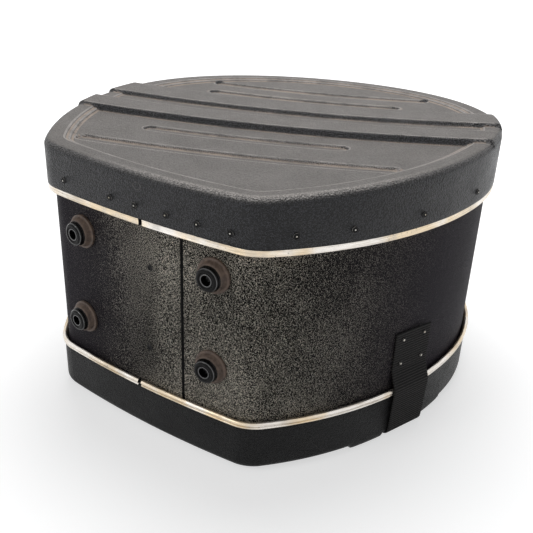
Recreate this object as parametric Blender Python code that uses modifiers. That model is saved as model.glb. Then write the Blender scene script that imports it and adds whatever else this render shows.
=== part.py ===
"""A rigid case for a mounted drum, lying on its lid.

The outline in plan is a D: a slightly bulged flat to the front (-Y), two corners, two long side
arcs and a round back. Places are worked out from the flat's middle on the floor, and the whole
case is moved at the end, so that the middle of its box is on the origin.

An outline point is named by the angle that the outline faces there, in plan: -90 degrees at the
flat's middle, 90 at the back's. Insets run inward from the outline, heights up from the floor.
"""
import math

import bmesh
import bpy
from mathutils import Matrix, Vector

# Outline in plan, at the back shell's skirt
FLAT_HALF = 0.112
FLAT_RADIUS = 1.100
CORNER_RADIUS = 0.044
CORNER_TURN = math.radians(41.5)
SIDE_RADIUS = 0.360
OUTLINE_STEPS = (3, 5, 7, 11)

# Clearances
TOUCH_GAP = 0.0003
STRAP_CLEARANCE = 0.0007
SLIDE_CLEARANCE = 0.0005

# Both shells
SHELL_THICKNESS = 0.0030
SHOULDER_RADIUS = 0.0070
SHOULDER_STEPS = 4
RIM_INSET = 0.0220
RECESS_DEPTH = 0.0040
RECESS_SLOPE = 0.0050
RIB_HEIGHT = 0.0040
RIB_FLANK = 0.0040
RIB_END_INSET = 0.0006
CHANNEL_DROP = 0.0015
GROOVE_WIDTH = 0.0180
GROOVE_DEPTH = 0.0015
GROOVE_MARGIN = 0.0030
GROOVE_STEPS = 6

# Back shell: its ribs and grooves lie across a turned direction, measured from the flat's middle
BACK_HEIGHT = 0.0440
BACK_TURN = math.radians(19.1)
BACK_RIBS = ((0.185, 0.228), (0.256, 0.308))
BACK_LONG_GROOVES = (0.089, 0.395)
BACK_SHORT_GROOVES = ((0.150, -0.055, 0.170), (0.345, -0.048, 0.200))

# The worn top of the back shell rises to both sides, and twists: up at its back right, down at its back left
SIDE_RISE = 0.0070
REAR_TWIST = 0.0065
RISE_SLICES = 6

# Lid, the same mould turned over
LID_HEIGHT = 0.0500
LID_SKIRT_INSET = 0.0028
LID_RIB_WIDTH = 0.0460
LID_LONG_GROOVES = (0.089, 0.395)
LID_SHORT_GROOVES = ((0.127, -0.170, 0.055), (0.345, -0.200, 0.048))

# Wall and what lines it
WALL_INSET = 0.0075
WALL_THICKNESS = 0.0030
WALL_HEIGHT = 0.2400
BACK_LAP = 0.0206
LAP_STEP = 0.0012
LAP_EDGE = 0.0490
LAP_START = -0.0600
LAP_RAMP = 0.0150
LINER_THICKNESS = 0.0050
PAD_THICKNESS = 0.0120
PAD_INSET = 0.0073

# Edgings
SPLIT_GAP = 0.0035
BACK_SPLIT = 0.0070
LID_SPLIT = -0.0030
EDGING_LIP = 0.0006
BACK_EDGING_INSET = 0.0002
BACK_EDGING_FACE = 0.0064
BACK_EDGING_HEIGHT = 0.0076
LID_EDGING_INSET = 0.0056
BEAD_RADIUS = 0.0024
BEAD_INSET = 0.0026
BEAD_RISE = 0.0043
BEAD_FIRST = math.radians(250)
BEAD_LAST = math.radians(50)
BEAD_STEPS = 8
LIP_INSET = 0.0009
LIP_HEIGHT = 0.0015

# Feet, each a distance round the outline, with the lower two's rises above the lid's edge and the
# upper two's drops below the back shell's. They were put on a little out of line
LOWER_FEET = ((-0.0870, 0.0497), (0.0846, 0.0548))
UPPER_FEET = ((-0.0818, 0.0393), (0.0869, 0.0366))
FLANGE_RADIUS = 0.0175
FLANGE_THICKNESS = 0.0028
FLANGE_EDGE = 0.0008
FOOT_BASE_RADIUS = 0.0154
FOOT_MIDDLE_RADIUS = 0.0138
FOOT_MIDDLE = 0.0078
CAP_RADIUS = 0.0120
FOOT_LENGTH = 0.0142
FOOT_EDGE = 0.0020
FOOT_RECESS_RADIUS = 0.0052
FOOT_RECESS_DEPTH = 0.0060
FOOT_STEPS = 20
SCREW_RADIUS = 0.0044
SCREW_HEAD = 0.0020

# Rivets, each place a distance round the outline from the flat's middle, right being positive
RIVET_RADIUS = 0.0032
RIVET_HEAD = 0.0016
RIVET_STEPS = 10
HEAD_FLAT = 0.60
HEAD_FLAT_LEVEL = 0.85
HEAD_EDGE_LEVEL = 0.30
SKIRT_RIVET_HEIGHT = 0.0120
SKIRT_RIVETS = (-0.097, -0.030, 0.0015, 0.0385, 0.073, 0.1075, 0.165, 0.220, 0.3005, 0.395)
REAR_RIVETS = 8
UPPER_LAP_RIVET = 0.0130
UPPER_LAP_RIVET_DROP = 0.0500
LOWER_LAP_RIVET = 0.0090
LOWER_LAP_RIVET_RISE = 0.0490

# Strap
STRAP_WIDTH = 0.0500
STRAP_THICKNESS = 0.0020
STRAP_PLACE = 0.2330
STRAP_TOP = 0.1250
STRAP_END = 0.0660
STRAP_LEAVES_WALL = 0.0800
CHANNEL_MARGIN = 0.0020
STRAP_RIVET_RADIUS = 0.0024
STRAP_RIVET_HEAD = 0.0010
STRAP_RIVET_SPREAD = 0.0150
STRAP_RIVET_DROPS = (0.0080, 0.0360)

# Buckle, on the strap's far side
BAR_HEIGHT = 0.1280
BAR_RADIUS = 0.0014
TAB_THICKNESS = 0.0012
TAB_RISE = 0.0380
TAB_TAPER = 0.0087
TAB_RIVET_RISES = (0.0180, 0.0300)
STRAP_TAIL = 0.0380
BUCKLE_HEIGHT = 0.0400
BUCKLE_PLATE = 0.0015
CHEEK_THICKNESS = 0.0018
CHEEK_GAP = 0.0010
CHEEK_REACH = 0.0078
LEVER_DROP = 0.0130
LEVER_RADIUS = 0.0031
LEVER_PLATE = 0.0022
LEVER_LENGTH = 0.0260
CAM_TURN = math.pi * 1.25
PIN_RADIUS = 0.0018

# Handle, at the back's middle
HANDLE_HEIGHT = 0.1680
HANDLE_HALF = 0.0620
HANDLE_STANDOFF = 0.0115
HANDLE_DROP = 0.0400
BAIL_RADIUS = 0.0030
BAIL_BEND = 0.0070
BAIL_END = 0.0010
BAIL_SLACK = 0.0010
BEND_STEPS = 4
GRIP_RADIUS = 0.0085
GRIP_HALF = 0.0400
GRIP_EDGE = 0.0025
BRACKET_WIDTH = 0.0160
BRACKET_LENGTH = 0.0420
BRACKET_PLATE = 0.0026
BRACKET_CORNER = 0.0040
BRACKET_RIVET_SPREAD = 0.0145
LUG_THICKNESS = 0.0060
LUG_RADIUS = 0.0065
ROUND_STEPS = 16

# Levels that follow
LID_RIM = RIB_HEIGHT
LID_EDGE = LID_RIM + LID_HEIGHT
LID_FLOOR = LID_RIM + RECESS_DEPTH + SHELL_THICKNESS
WALL_FOOT = LID_FLOOR + PAD_THICKNESS + 2 * TOUCH_GAP
WALL_TOP = WALL_FOOT + WALL_HEIGHT
BACK_EDGE = WALL_TOP - BACK_LAP
BACK_RIM = BACK_EDGE + BACK_HEIGHT
STRAP_TURN = -BACK_TURN
UP = Vector((0, 0, 1))

# How the shapes are made
SEARCH_STEPS = 50
WELD_DISTANCE = 0.000001
ANGLE_SLACK = 0.000001
SHARP_ANGLE = math.radians(35)

collection = bpy.data.collections.new("drum_case")


# Outline

def direction(angle):
    return Vector((math.cos(angle), math.sin(angle), 0))


def outline_arcs():
    """The right half's arcs, each as its centre, radius, first angle and last angle."""
    flat_end = FLAT_HALF / FLAT_RADIUS - math.pi / 2
    corner_end = flat_end + CORNER_TURN
    flat = Vector((0, FLAT_RADIUS, 0))
    corner = flat + (FLAT_RADIUS - CORNER_RADIUS) * direction(flat_end)
    side = corner - (SIDE_RADIUS - CORNER_RADIUS) * direction(corner_end)
    back = Vector((0, side.y, 0))
    return [
        (flat, FLAT_RADIUS, -math.pi / 2, flat_end),
        (corner, CORNER_RADIUS, flat_end, corner_end),
        (side, SIDE_RADIUS, corner_end, 0),
        (back, side.x + SIDE_RADIUS, 0, math.pi / 2),
    ]


ARCS = outline_arcs()
HALF_ROUND = sum(radius * (last - first) for _, radius, first, last in ARCS)
HALF_WIDTH = ARCS[-1][1]
DEPTH = ARCS[-1][0].y + ARCS[-1][1]


def outline_point(angle, inset=0.0, height=0.0):
    """Where the outline faces the angle, moved in and up. The left half mirrors the right."""
    angle = (angle + math.pi / 2) % (2 * math.pi) - math.pi / 2
    side = 1 if angle <= math.pi / 2 else -1
    facing = angle if side > 0 else math.pi - angle
    centre, radius = next((centre, radius) for centre, radius, _, last in ARCS if facing <= last)
    point = centre + (radius - inset) * direction(facing)
    return Vector((side * point.x, point.y, height))


def angle_at(distance):
    """The angle faced at a distance round the outline from the flat's middle."""
    left = abs(distance)
    for _, radius, first, last in ARCS:
        if left <= radius * (last - first):
            break
        left -= radius * (last - first)
    facing = first + left / radius
    return facing if distance >= 0 else math.pi - facing


def angle_across(distance, turn, side, inset=0.0):
    """The angle faced where a line along the turned direction leaves the outline on one side."""
    across = direction(turn + math.pi / 2)
    near = turn + math.pi / 2 - side * math.pi
    far = turn + math.pi / 2
    for _ in range(SEARCH_STEPS):
        middle = (near + far) / 2
        if outline_point(middle, inset).dot(across) < distance:
            near = middle
        else:
            far = middle
    return middle


def reach(distance, turn, side, inset):
    """How far along the turned direction a line runs before it leaves the outline."""
    angle = angle_across(distance, turn, side, inset)
    return side * outline_point(angle, inset).dot(direction(turn))


def round_angles():
    """The angles of the outline's points, from the flat's middle all the way round."""
    right = []
    for (_, _, first, last), steps in zip(ARCS, OUTLINE_STEPS):
        right += [first + (last - first) * step / steps for step in range(steps)]
    return right + [math.pi / 2] + [math.pi - angle for angle in right[:0:-1]]


def angles_between(first, last, more=()):
    """The outline's angles from one to another, past a full turn where last is the smaller, with more."""
    last += 2 * math.pi if last < first else 0
    every = round_angles() + list(more)
    turns = sorted(angle + turn for turn in (-2 * math.pi, 0, 2 * math.pi) for angle in every)
    return [first] + [angle for angle in turns if first < angle < last] + [last]


def ring(inset, height):
    return [outline_point(angle, inset, height) for angle in round_angles()]


def facing_out(angle, inset, height):
    """A frame on the outline with Z pointing out of it and Y up."""
    out = direction(angle)
    matrix = Matrix((UP.cross(out), UP, out)).transposed().to_4x4()
    matrix.translation = outline_point(angle, inset, height)
    return matrix


# Objects

def cleared():
    for thing in list(bpy.data.objects):
        bpy.data.objects.remove(thing, do_unlink=True)
    bpy.context.scene.collection.children.link(collection)


def material(name, colour, roughness, metallic=0.0):
    made = bpy.data.materials.new(name)
    made.use_nodes = True
    shader = made.node_tree.nodes["Principled BSDF"]
    shader.inputs["Base Color"].default_value = (*colour, 1)
    shader.inputs["Roughness"].default_value = roughness
    shader.inputs["Metallic"].default_value = metallic
    return made


def added(name, data, matrix=None):
    thing = bpy.data.objects.new(name, data)
    thing.matrix_world = matrix or Matrix()
    collection.objects.link(thing)
    return thing


def finished(thing, look, parent):
    """Gives a piece its material and its parent, where it stands."""
    thing.data.materials.clear()
    thing.data.materials.append(look)
    bpy.context.view_layer.update()
    thing.parent = parent
    thing.matrix_parent_inverse = parent.matrix_world.inverted()
    return thing


def pivot(name, place, parent=None):
    empty = added(name, None, Matrix.Translation(place))
    empty.empty_display_size = 0.02
    bpy.context.view_layer.update()
    if parent:
        empty.parent = parent
        empty.matrix_parent_inverse = parent.matrix_world.inverted()
    return empty


def loft(name, sections):
    """A closed body over a row of like sections, each a ring of points, with its ends capped."""
    shape = bmesh.new()
    rings = [[shape.verts.new(point) for point in section] for section in sections]
    for lower, upper in zip(rings, rings[1:]):
        for place, vertex in enumerate(lower):
            shape.faces.new((lower[place - 1], vertex, upper[place], upper[place - 1]))
    shape.faces.new(rings[0])
    shape.faces.new(rings[-1])
    bmesh.ops.recalc_face_normals(shape, faces=shape.faces)
    mesh = bpy.data.meshes.new(name)
    shape.to_mesh(mesh)
    shape.free()
    mesh.shade_smooth()
    mesh.set_sharp_from_angle(angle=SHARP_ANGLE)
    return added(name, mesh)


def plate(name, outlines, thickness, matrix=None):
    """A flat plate in its own XY plane. Outlines after the first are holes."""
    curve = bpy.data.curves.new(name, "CURVE")
    curve.dimensions = "2D"
    curve.fill_mode = "BOTH"
    curve.extrude = thickness / 2
    for outline in outlines:
        spline = curve.splines.new("POLY")
        spline.points.add(len(outline) - 1)
        for point, place in zip(spline.points, outline):
            point.co = (place[0], place[1], 0, 1)
        spline.use_cyclic_u = True
    return added(name, curve, matrix)


def turned(name, profile, steps, matrix=None):
    """A body turned about its own Z axis. The profile's (radius, height) points run downward."""
    mesh = bpy.data.meshes.new(name)
    shape = bmesh.new()
    points = [shape.verts.new((radius, 0, height)) for radius, height in profile]
    for pair in zip(points, points[1:]):
        shape.edges.new(pair)
    shape.to_mesh(mesh)
    shape.free()
    thing = added(name, mesh, matrix)
    screw = thing.modifiers.new("turned", "SCREW")
    screw.steps = steps
    screw.render_steps = steps
    screw.use_merge_vertices = True
    screw.merge_threshold = WELD_DISTANCE
    screw.use_smooth_shade = False
    return thing


def rod(name, radius, length, matrix):
    """A round rod about the middle of its matrix's Z axis."""
    profile = [(0, length / 2), (radius, length / 2), (radius, -length / 2), (0, -length / 2)]
    return turned(name, profile, ROUND_STEPS, matrix)


def as_mesh(thing):
    """The piece as a plain mesh object of the same name and place, with its modifiers applied."""
    bpy.context.view_layer.update()
    graph = bpy.context.evaluated_depsgraph_get()
    name, matrix = thing.name, thing.matrix_world.copy()
    mesh = bpy.data.meshes.new_from_object(thing.evaluated_get(graph))
    bpy.data.objects.remove(thing)
    shape = bmesh.new()
    shape.from_mesh(mesh)
    bmesh.ops.remove_doubles(shape, verts=shape.verts, dist=WELD_DISTANCE)
    bmesh.ops.recalc_face_normals(shape, faces=shape.faces)
    shape.to_mesh(mesh)
    shape.free()
    mesh.name = name
    return added(name, mesh, matrix)


def combined(thing, tool, operation):
    """The piece joined with, cut by or trimmed to another, which is used up."""
    thing, tool = as_mesh(thing), as_mesh(tool)
    step = thing.modifiers.new(operation.lower(), "BOOLEAN")
    step.operation = operation
    step.object = tool
    thing = as_mesh(thing)
    bpy.data.objects.remove(tool)
    return thing


# Shells

def arc(centre, radii, first, last, steps):
    """Points (across, up) on an ellipse's arc between two angles."""
    turns = [first + (last - first) * step / steps for step in range(steps + 1)]
    return [(centre[0] + radii[0] * math.cos(turn), centre[1] + radii[1] * math.sin(turn)) for turn in turns]


def shoulder(inset, depth, radius):
    """A shoulder from the skirt to the rim, as (inset, depth below the rim's level) points."""
    centre = (inset + radius, depth + radius)
    return arc(centre, (radius, radius), math.pi, math.pi * 1.5, SHOULDER_STEPS)


def form(name, profile, level):
    """A solid with rings round the outline at each of the profile's (inset, depth) points."""
    return loft(name, [ring(inset, level(depth)) for inset, depth in profile])


def prism(name, section, turn, level):
    """A long prism along the turned direction, from (place across it, depth) points."""
    along, across = direction(turn), direction(turn + math.pi / 2)
    points = [place * across + UP * level(depth) for place, depth in section]
    return loft(name, [[end + point for point in points] for end in (-DEPTH * along, DEPTH * along)])


def with_ribs(made, inset, turn, ribs, level):
    """Adds two ribs that run over the rim to the skirt, and the low channel floor between them."""
    floor = SHOULDER_RADIUS + RIB_HEIGHT
    over_rim = [(inset + RIB_END_INSET, 2 * floor)]
    over_rim += shoulder(inset + RIB_END_INSET, -RIB_HEIGHT - RIB_END_INSET, SHOULDER_RADIUS)
    for first, last in ribs:
        section = [
            (first, floor),
            (first, RECESS_DEPTH),
            (first + RIB_FLANK, -RIB_HEIGHT),
            (last - RIB_FLANK, -RIB_HEIGHT),
            (last, RECESS_DEPTH),
            (last, floor),
        ]
        limit = form("over_rim", over_rim, level)
        made = combined(made, combined(prism("rib", section, turn, level), limit, "INTERSECT"), "UNION")
    (_, first), (last, _) = ribs
    section = [
        (first - RIB_FLANK, floor - RECESS_DEPTH),
        (first - RIB_FLANK, CHANNEL_DROP),
        (last + RIB_FLANK, CHANNEL_DROP),
        (last + RIB_FLANK, floor - RECESS_DEPTH),
    ]
    in_rim = inset + RIM_INSET + RIB_END_INSET
    limit = form("in_rim", [(in_rim, 2 * floor), (in_rim, -RIB_HEIGHT)], level)
    return combined(made, combined(prism("channel", section, turn, level), limit, "INTERSECT"), "UNION")


def groove(name, place, first, last, turn, level):
    """A cutter for a round-ended groove in the recess, from first to last along it."""
    half = GROOVE_WIDTH / 2
    right = arc((last - half, place), (half, half), -math.pi / 2, math.pi / 2, GROOVE_STEPS)
    left = arc((first + half, place), (half, half), math.pi / 2, math.pi * 1.5, GROOVE_STEPS)
    bottom = level(RECESS_DEPTH + GROOVE_DEPTH)
    top = level(-RIB_HEIGHT - RECESS_DEPTH)
    matrix = Matrix.Translation(UP * (bottom + top) / 2) @ Matrix.Rotation(turn, 4, "Z")
    return plate(name, [right + left], abs(top - bottom), matrix)


def shell(name, inset, height, level, turn, ribs, long_grooves, short_grooves):
    """A moulded shell: skirt, round shoulder, rim, sunk panel with two ribs and grooves."""
    panel = (inset + RIM_INSET + RECESS_SLOPE, RECESS_DEPTH)
    outside = [(inset, height)] + shoulder(inset, 0, SHOULDER_RADIUS) + [(inset + RIM_INSET, 0), panel]
    hollow_radius = SHOULDER_RADIUS - SHELL_THICKNESS
    hollow = [(inset + SHELL_THICKNESS, height + SHELL_THICKNESS)]
    hollow += shoulder(inset + SHELL_THICKNESS, SHELL_THICKNESS, hollow_radius)
    hollow += [(inset + RIM_INSET, SHELL_THICKNESS), (panel[0], panel[1] + SHELL_THICKNESS)]

    made = with_ribs(form(name, outside, level), inset, turn, ribs, level)
    made = combined(made, form("hollow", hollow, level), "DIFFERENCE")
    clear = panel[0] + GROOVE_MARGIN
    runs = [(place, -reach(place, turn, -1, clear), reach(place, turn, 1, clear)) for place in long_grooves]
    for place, first, last in runs + list(short_grooves):
        made = combined(made, groove("groove", place, first, last, turn, level), "DIFFERENCE")
    return made


def risen(thing):
    """Bends the back shell's top up towards its sides and twists it, less and less down the skirt."""
    shape = bmesh.new()
    shape.from_mesh(thing.data)
    for axis, size, start in (((1, 0, 0), 2 * HALF_WIDTH, -HALF_WIDTH), ((0, 1, 0), DEPTH, 0)):
        for slice_number in range(1, RISE_SLICES):
            place = Vector(axis) * (start + size * slice_number / RISE_SLICES)
            everything = shape.verts[:] + shape.edges[:] + shape.faces[:]
            bmesh.ops.bisect_plane(shape, geom=everything, plane_co=place, plane_no=axis)
    bmesh.ops.triangulate(shape, faces=shape.faces)
    for vertex in shape.verts:
        x, y, z = vertex.co
        share = min(1, (z - BACK_EDGE) / (BACK_HEIGHT - SHOULDER_RADIUS))
        vertex.co.z += share * (SIDE_RISE * (x / HALF_WIDTH) ** 2 + REAR_TWIST * x / HALF_WIDTH * y / DEPTH)
    shape.to_mesh(thing.data)
    shape.free()
    return thing


def back_level(depth):
    return BACK_RIM - depth


def lid_level(depth):
    return LID_RIM + depth


def back_shell():
    grooves = BACK_LONG_GROOVES, BACK_SHORT_GROOVES
    return risen(shell("back_shell", 0, BACK_HEIGHT, back_level, BACK_TURN, BACK_RIBS, *grooves))


def lid_shell():
    near = STRAP_PLACE - STRAP_WIDTH / 2 - CHANNEL_MARGIN
    far = STRAP_PLACE + STRAP_WIDTH / 2 + CHANNEL_MARGIN
    ribs = ((near - LID_RIB_WIDTH, near), (far, far + LID_RIB_WIDTH))
    grooves = LID_LONG_GROOVES, LID_SHORT_GROOVES
    return shell("lid_shell", LID_SKIRT_INSET, LID_HEIGHT, lid_level, STRAP_TURN, ribs, *grooves)


# Wall, lining and pads

def lap_angles():
    """Where the lapped sheet starts to rise, where it lies on the other, and its edge."""
    whole = 2 * math.pi
    return angle_at(LAP_START) - whole, angle_at(LAP_START + LAP_RAMP) - whole, angle_at(LAP_EDGE)


def wall_face(angle):
    """The wall's outer inset, less where the sheet laps over its own end."""
    _, raised, edge = lap_angles()
    for turn in (0, -2 * math.pi):
        if raised - ANGLE_SLACK <= angle + turn <= edge + ANGLE_SLACK:
            return WALL_INSET - LAP_STEP
    return WALL_INSET


def upright(name, outlines, foot, top):
    """A plate that stands on its foot's level and reaches up to its top's."""
    return plate(name, outlines, top - foot, Matrix.Translation(UP * (foot + top) / 2))


def wall_sheet():
    start, raised, edge = lap_angles()
    outer = [outline_point(angle, WALL_INSET) for angle in angles_between(edge, start)]
    outer += [outline_point(angle, WALL_INSET - LAP_STEP) for angle in angles_between(raised, edge)]
    inner = ring(WALL_INSET + WALL_THICKNESS, 0)
    return upright("wall_sheet", [outer, inner], WALL_FOOT, WALL_TOP)


def wall_liner():
    outer = WALL_INSET + WALL_THICKNESS + TOUCH_GAP
    return upright("wall_liner", [ring(outer, 0), ring(outer + LINER_THICKNESS, 0)], WALL_FOOT, WALL_TOP)


def pad(name, foot):
    return upright(name, [ring(PAD_INSET, 0)], foot, foot + PAD_THICKNESS)


# Edgings

def edging(name, split, section):
    """An edging bent round the case over the lap, with its two ends a gap apart at the split."""
    lap = (*lap_angles(), angle_at(LAP_EDGE + LAP_STEP))
    angles = angles_between(angle_at(split + SPLIT_GAP / 2), angle_at(split - SPLIT_GAP / 2), lap)
    return loft(name, [[outline_point(angle, *place) for place in section(angle)] for angle in angles])


def back_section(angle):
    wall = wall_face(angle) - TOUCH_GAP
    top = BACK_EDGE - TOUCH_GAP
    foot = top - BACK_EDGING_HEIGHT
    return [
        (BACK_EDGING_INSET, top),
        (BACK_EDGING_INSET, top - BACK_EDGING_FACE),
        (wall - EDGING_LIP, foot),
        (wall, foot),
        (wall, top),
    ]


def lid_section(angle):
    foot = LID_EDGE + TOUCH_GAP
    bead = foot + BEAD_RISE
    around = arc((BEAD_INSET, bead), (BEAD_RADIUS, BEAD_RADIUS), BEAD_FIRST, BEAD_LAST, BEAD_STEPS)
    lip = [(LID_EDGING_INSET, foot), (LIP_INSET, foot), (LIP_INSET, foot + LIP_HEIGHT)]
    return lip + around + [(LID_EDGING_INSET, bead)]


# Feet and rivets

def foot_profile():
    end, cap = FOOT_LENGTH, FLANGE_THICKNESS
    return [
        (0, end - FOOT_RECESS_DEPTH),
        (FOOT_RECESS_RADIUS, end - FOOT_RECESS_DEPTH),
        (FOOT_RECESS_RADIUS, end),
        (CAP_RADIUS - FOOT_EDGE, end),
        (CAP_RADIUS, end - FOOT_EDGE),
        (FOOT_MIDDLE_RADIUS, FOOT_MIDDLE),
        (FOOT_BASE_RADIUS, cap),
        (FLANGE_RADIUS - FLANGE_EDGE, cap),
        (FLANGE_RADIUS, cap - FLANGE_EDGE),
        (FLANGE_RADIUS, 0),
        (0, 0),
    ]


def head_profile(radius, head):
    """A low round head, of a rivet or a screw."""
    crown = (radius * HEAD_FLAT, head * HEAD_FLAT_LEVEL)
    return [(0, head), crown, (radius, head * HEAD_EDGE_LEVEL), (radius, 0), (0, 0)]


def rivet(name, matrix, radius=RIVET_RADIUS, head=RIVET_HEAD):
    return turned(name, head_profile(radius, head), RIVET_STEPS, matrix)


def feet(look, screw_look, parent):
    places = [(place, LID_EDGE + rise) for place, rise in LOWER_FEET]
    places += [(place, BACK_EDGE - drop) for place, drop in UPPER_FEET]
    for number, (place, height) in enumerate(places, 1):
        seat = facing_out(angle_at(place), WALL_INSET - TOUCH_GAP, height)
        finished(turned(f"foot_{number}", foot_profile(), FOOT_STEPS, seat), look, parent)
        floor = seat @ Matrix.Translation(UP * (FOOT_LENGTH - FOOT_RECESS_DEPTH + TOUCH_GAP))
        screw = turned(f"foot_screw_{number}", head_profile(SCREW_RADIUS, SCREW_HEAD), FOOT_STEPS, floor)
        finished(screw, screw_look, parent)


def wall_rivets(look, parent):
    first, last = SKIRT_RIVETS[-1], 2 * HALF_ROUND + SKIRT_RIVETS[0]
    step = (last - first) / (REAR_RIVETS + 1)
    rear = [first + step * (number + 1) for number in range(REAR_RIVETS)]
    places = list(SKIRT_RIVETS) + [place if place <= HALF_ROUND else place - 2 * HALF_ROUND for place in rear]
    for number, place in enumerate(places, 1):
        seat = facing_out(angle_at(place), -TOUCH_GAP, BACK_EDGE + SKIRT_RIVET_HEIGHT)
        finished(rivet(f"skirt_rivet_{number}", seat), look, parent)
    upper = (UPPER_LAP_RIVET, BACK_EDGE - UPPER_LAP_RIVET_DROP)
    lower = (LOWER_LAP_RIVET, LID_EDGE + LOWER_LAP_RIVET_RISE)
    for number, (place, height) in enumerate((upper, lower), 1):
        seat = facing_out(angle_at(place), WALL_INSET - LAP_STEP - TOUCH_GAP, height)
        finished(rivet(f"lap_rivet_{number}", seat), look, parent)


# Strap. Its plane stands along the turned direction: first coordinate along, second up

STRAP_PLANE = Matrix((direction(STRAP_TURN), UP, direction(STRAP_TURN).cross(UP))).transposed().to_4x4()
STRAP_PLANE.translation = direction(STRAP_TURN + math.pi / 2) * STRAP_PLACE
BAR_LOOP = BAR_RADIUS + TOUCH_GAP + TAB_THICKNESS
BAR_OUT = STRAP_CLEARANCE + BAR_LOOP
TAIL_OUT = BAR_OUT + BAR_LOOP + TOUCH_GAP


def strap_reach(side, inset):
    """How far out the strap has to stand to clear the outline at its middle and both its edges."""
    lines = (STRAP_PLACE - STRAP_WIDTH / 2, STRAP_PLACE, STRAP_PLACE + STRAP_WIDTH / 2)
    return max(reach(line, STRAP_TURN, side, inset) for line in lines)


def thickened(path, thickness):
    """A closed outline from a path and its copy a thickness away, to the path's left."""
    copy = []
    for number, place in enumerate(path):
        before = Vector(path[max(number - 1, 0)])
        after = Vector(path[min(number + 1, len(path) - 1)])
        here = Vector(place)
        runs = [run.normalized() for run in (here - before, after - here) if run.length > 0]
        lefts = [Vector((-run.y, run.x)) for run in runs]
        left = sum(lefts, Vector((0, 0))).normalized()
        copy.append(here + left * thickness / left.dot(lefts[0]))
    return list(path) + copy[::-1]


def strap_side(side, wall_out):
    """The strap's inner face on one side, from the top down to below the shoulder."""
    wall = strap_reach(side, WALL_INSET) + wall_out
    bead = strap_reach(side, BEAD_INSET - BEAD_RADIUS) + STRAP_CLEARANCE
    skirt = strap_reach(side, LID_SKIRT_INSET) + STRAP_CLEARANCE
    bead_level = LID_EDGE + TOUCH_GAP + BEAD_RISE
    radii = (SHOULDER_RADIUS + STRAP_CLEARANCE, SHOULDER_RADIUS + TOUCH_GAP)
    centre = (skirt - radii[0], LID_RIM + SHOULDER_RADIUS)
    path = [(wall, STRAP_LEAVES_WALL), (bead, bead_level + BEAD_RADIUS), (bead, bead_level - BEAD_RADIUS)]
    return path + arc(centre, radii, 0, -math.pi / 2, SHOULDER_STEPS)


def split_at(path, level):
    """The part of a falling path above a level, and the part below it, a touch gap apart."""
    def cut(height):
        for number, (upper, lower) in enumerate(zip(path, path[1:])):
            if upper[1] >= height > lower[1]:
                share = (upper[1] - height) / (upper[1] - lower[1])
                return number + 1, (upper[0] + share * (lower[0] - upper[0]), height)
    upper_count, upper_end = cut(level)
    lower_count, lower_end = cut(level - TOUCH_GAP)
    return path[:upper_count] + [upper_end], [lower_end] + path[lower_count:]


def strap(look, body, lid):
    near = [(strap_reach(1, WALL_INSET) + STRAP_CLEARANCE, STRAP_TOP)] + strap_side(1, STRAP_CLEARANCE)
    tab, run = split_at(near, STRAP_END)
    far = [(strap_reach(-1, WALL_INSET) + TAIL_OUT, BAR_HEIGHT + STRAP_TAIL)] + strap_side(-1, TAIL_OUT)
    run += [(-along, height) for along, height in far[::-1]]
    finished(plate("strap_tab", [thickened(tab, STRAP_THICKNESS)], STRAP_WIDTH, STRAP_PLANE), look, body)
    finished(plate("strap_run", [thickened(run, STRAP_THICKNESS)], STRAP_WIDTH, STRAP_PLANE), look, lid)


def strap_seat(side, out, across, height):
    """A frame square to the strap, with Z pointing out of the case and Y up."""
    outward = direction(STRAP_TURN) * side
    matrix = Matrix((UP.cross(outward), UP, outward)).transposed().to_4x4()
    place = Vector((side * (strap_reach(side, WALL_INSET) + out), height, across))
    matrix.translation = STRAP_PLANE @ place
    return matrix


def strap_rivets(look, parent):
    out = STRAP_CLEARANCE + STRAP_THICKNESS + TOUCH_GAP
    number = 0
    for drop in STRAP_RIVET_DROPS:
        for across in (-STRAP_RIVET_SPREAD, STRAP_RIVET_SPREAD):
            number += 1
            seat = strap_seat(1, out, across, STRAP_TOP - drop)
            made = rivet(f"strap_rivet_{number}", seat, STRAP_RIVET_RADIUS, STRAP_RIVET_HEAD)
            finished(made, look, parent)


# Buckle. Its sections' first coordinate runs out of the wall, the second up

def buckle_plane():
    outward = -direction(STRAP_TURN)
    matrix = Matrix((outward, UP, outward.cross(UP))).transposed().to_4x4()
    matrix.translation = STRAP_PLANE @ Vector((-strap_reach(-1, WALL_INSET), 0, 0))
    return matrix


def circle(centre, radius):
    return arc(centre, (radius, radius), 0, 2 * math.pi * (1 - 1 / ROUND_STEPS), ROUND_STEPS - 1)


def buckle_tab(look, parent):
    """Webbing folded round the buckle's bar and riveted to the wall."""
    bar = (BAR_OUT, BAR_HEIGHT)
    fold = arc(bar, (BAR_LOOP, BAR_LOOP), math.pi, 2 * math.pi, ROUND_STEPS // 2)
    top = BAR_HEIGHT + TAB_RISE
    front = STRAP_CLEARANCE + 2 * TAB_THICKNESS
    outline = [(STRAP_CLEARANCE, top)] + fold + [(front, BAR_HEIGHT + TAB_TAPER), (front, top)]
    hole = circle(bar, BAR_RADIUS + TOUCH_GAP)
    finished(plate("buckle_tab", [outline, hole], STRAP_WIDTH - 2 * CHEEK_GAP, buckle_plane()), look, parent)


def buckle_rivets(look, parent):
    out = STRAP_CLEARANCE + 2 * TAB_THICKNESS + TOUCH_GAP
    number = 0
    for rise in TAB_RIVET_RISES:
        for across in (-STRAP_RIVET_SPREAD, STRAP_RIVET_SPREAD):
            number += 1
            seat = strap_seat(-1, out, across, BAR_HEIGHT + rise)
            made = rivet(f"buckle_rivet_{number}", seat, STRAP_RIVET_RADIUS, STRAP_RIVET_HEAD)
            finished(made, look, parent)


LEVER_OUT = TAIL_OUT + STRAP_THICKNESS + TOUCH_GAP + LEVER_RADIUS
LEVER_HEIGHT = BAR_HEIGHT - LEVER_DROP


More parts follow.
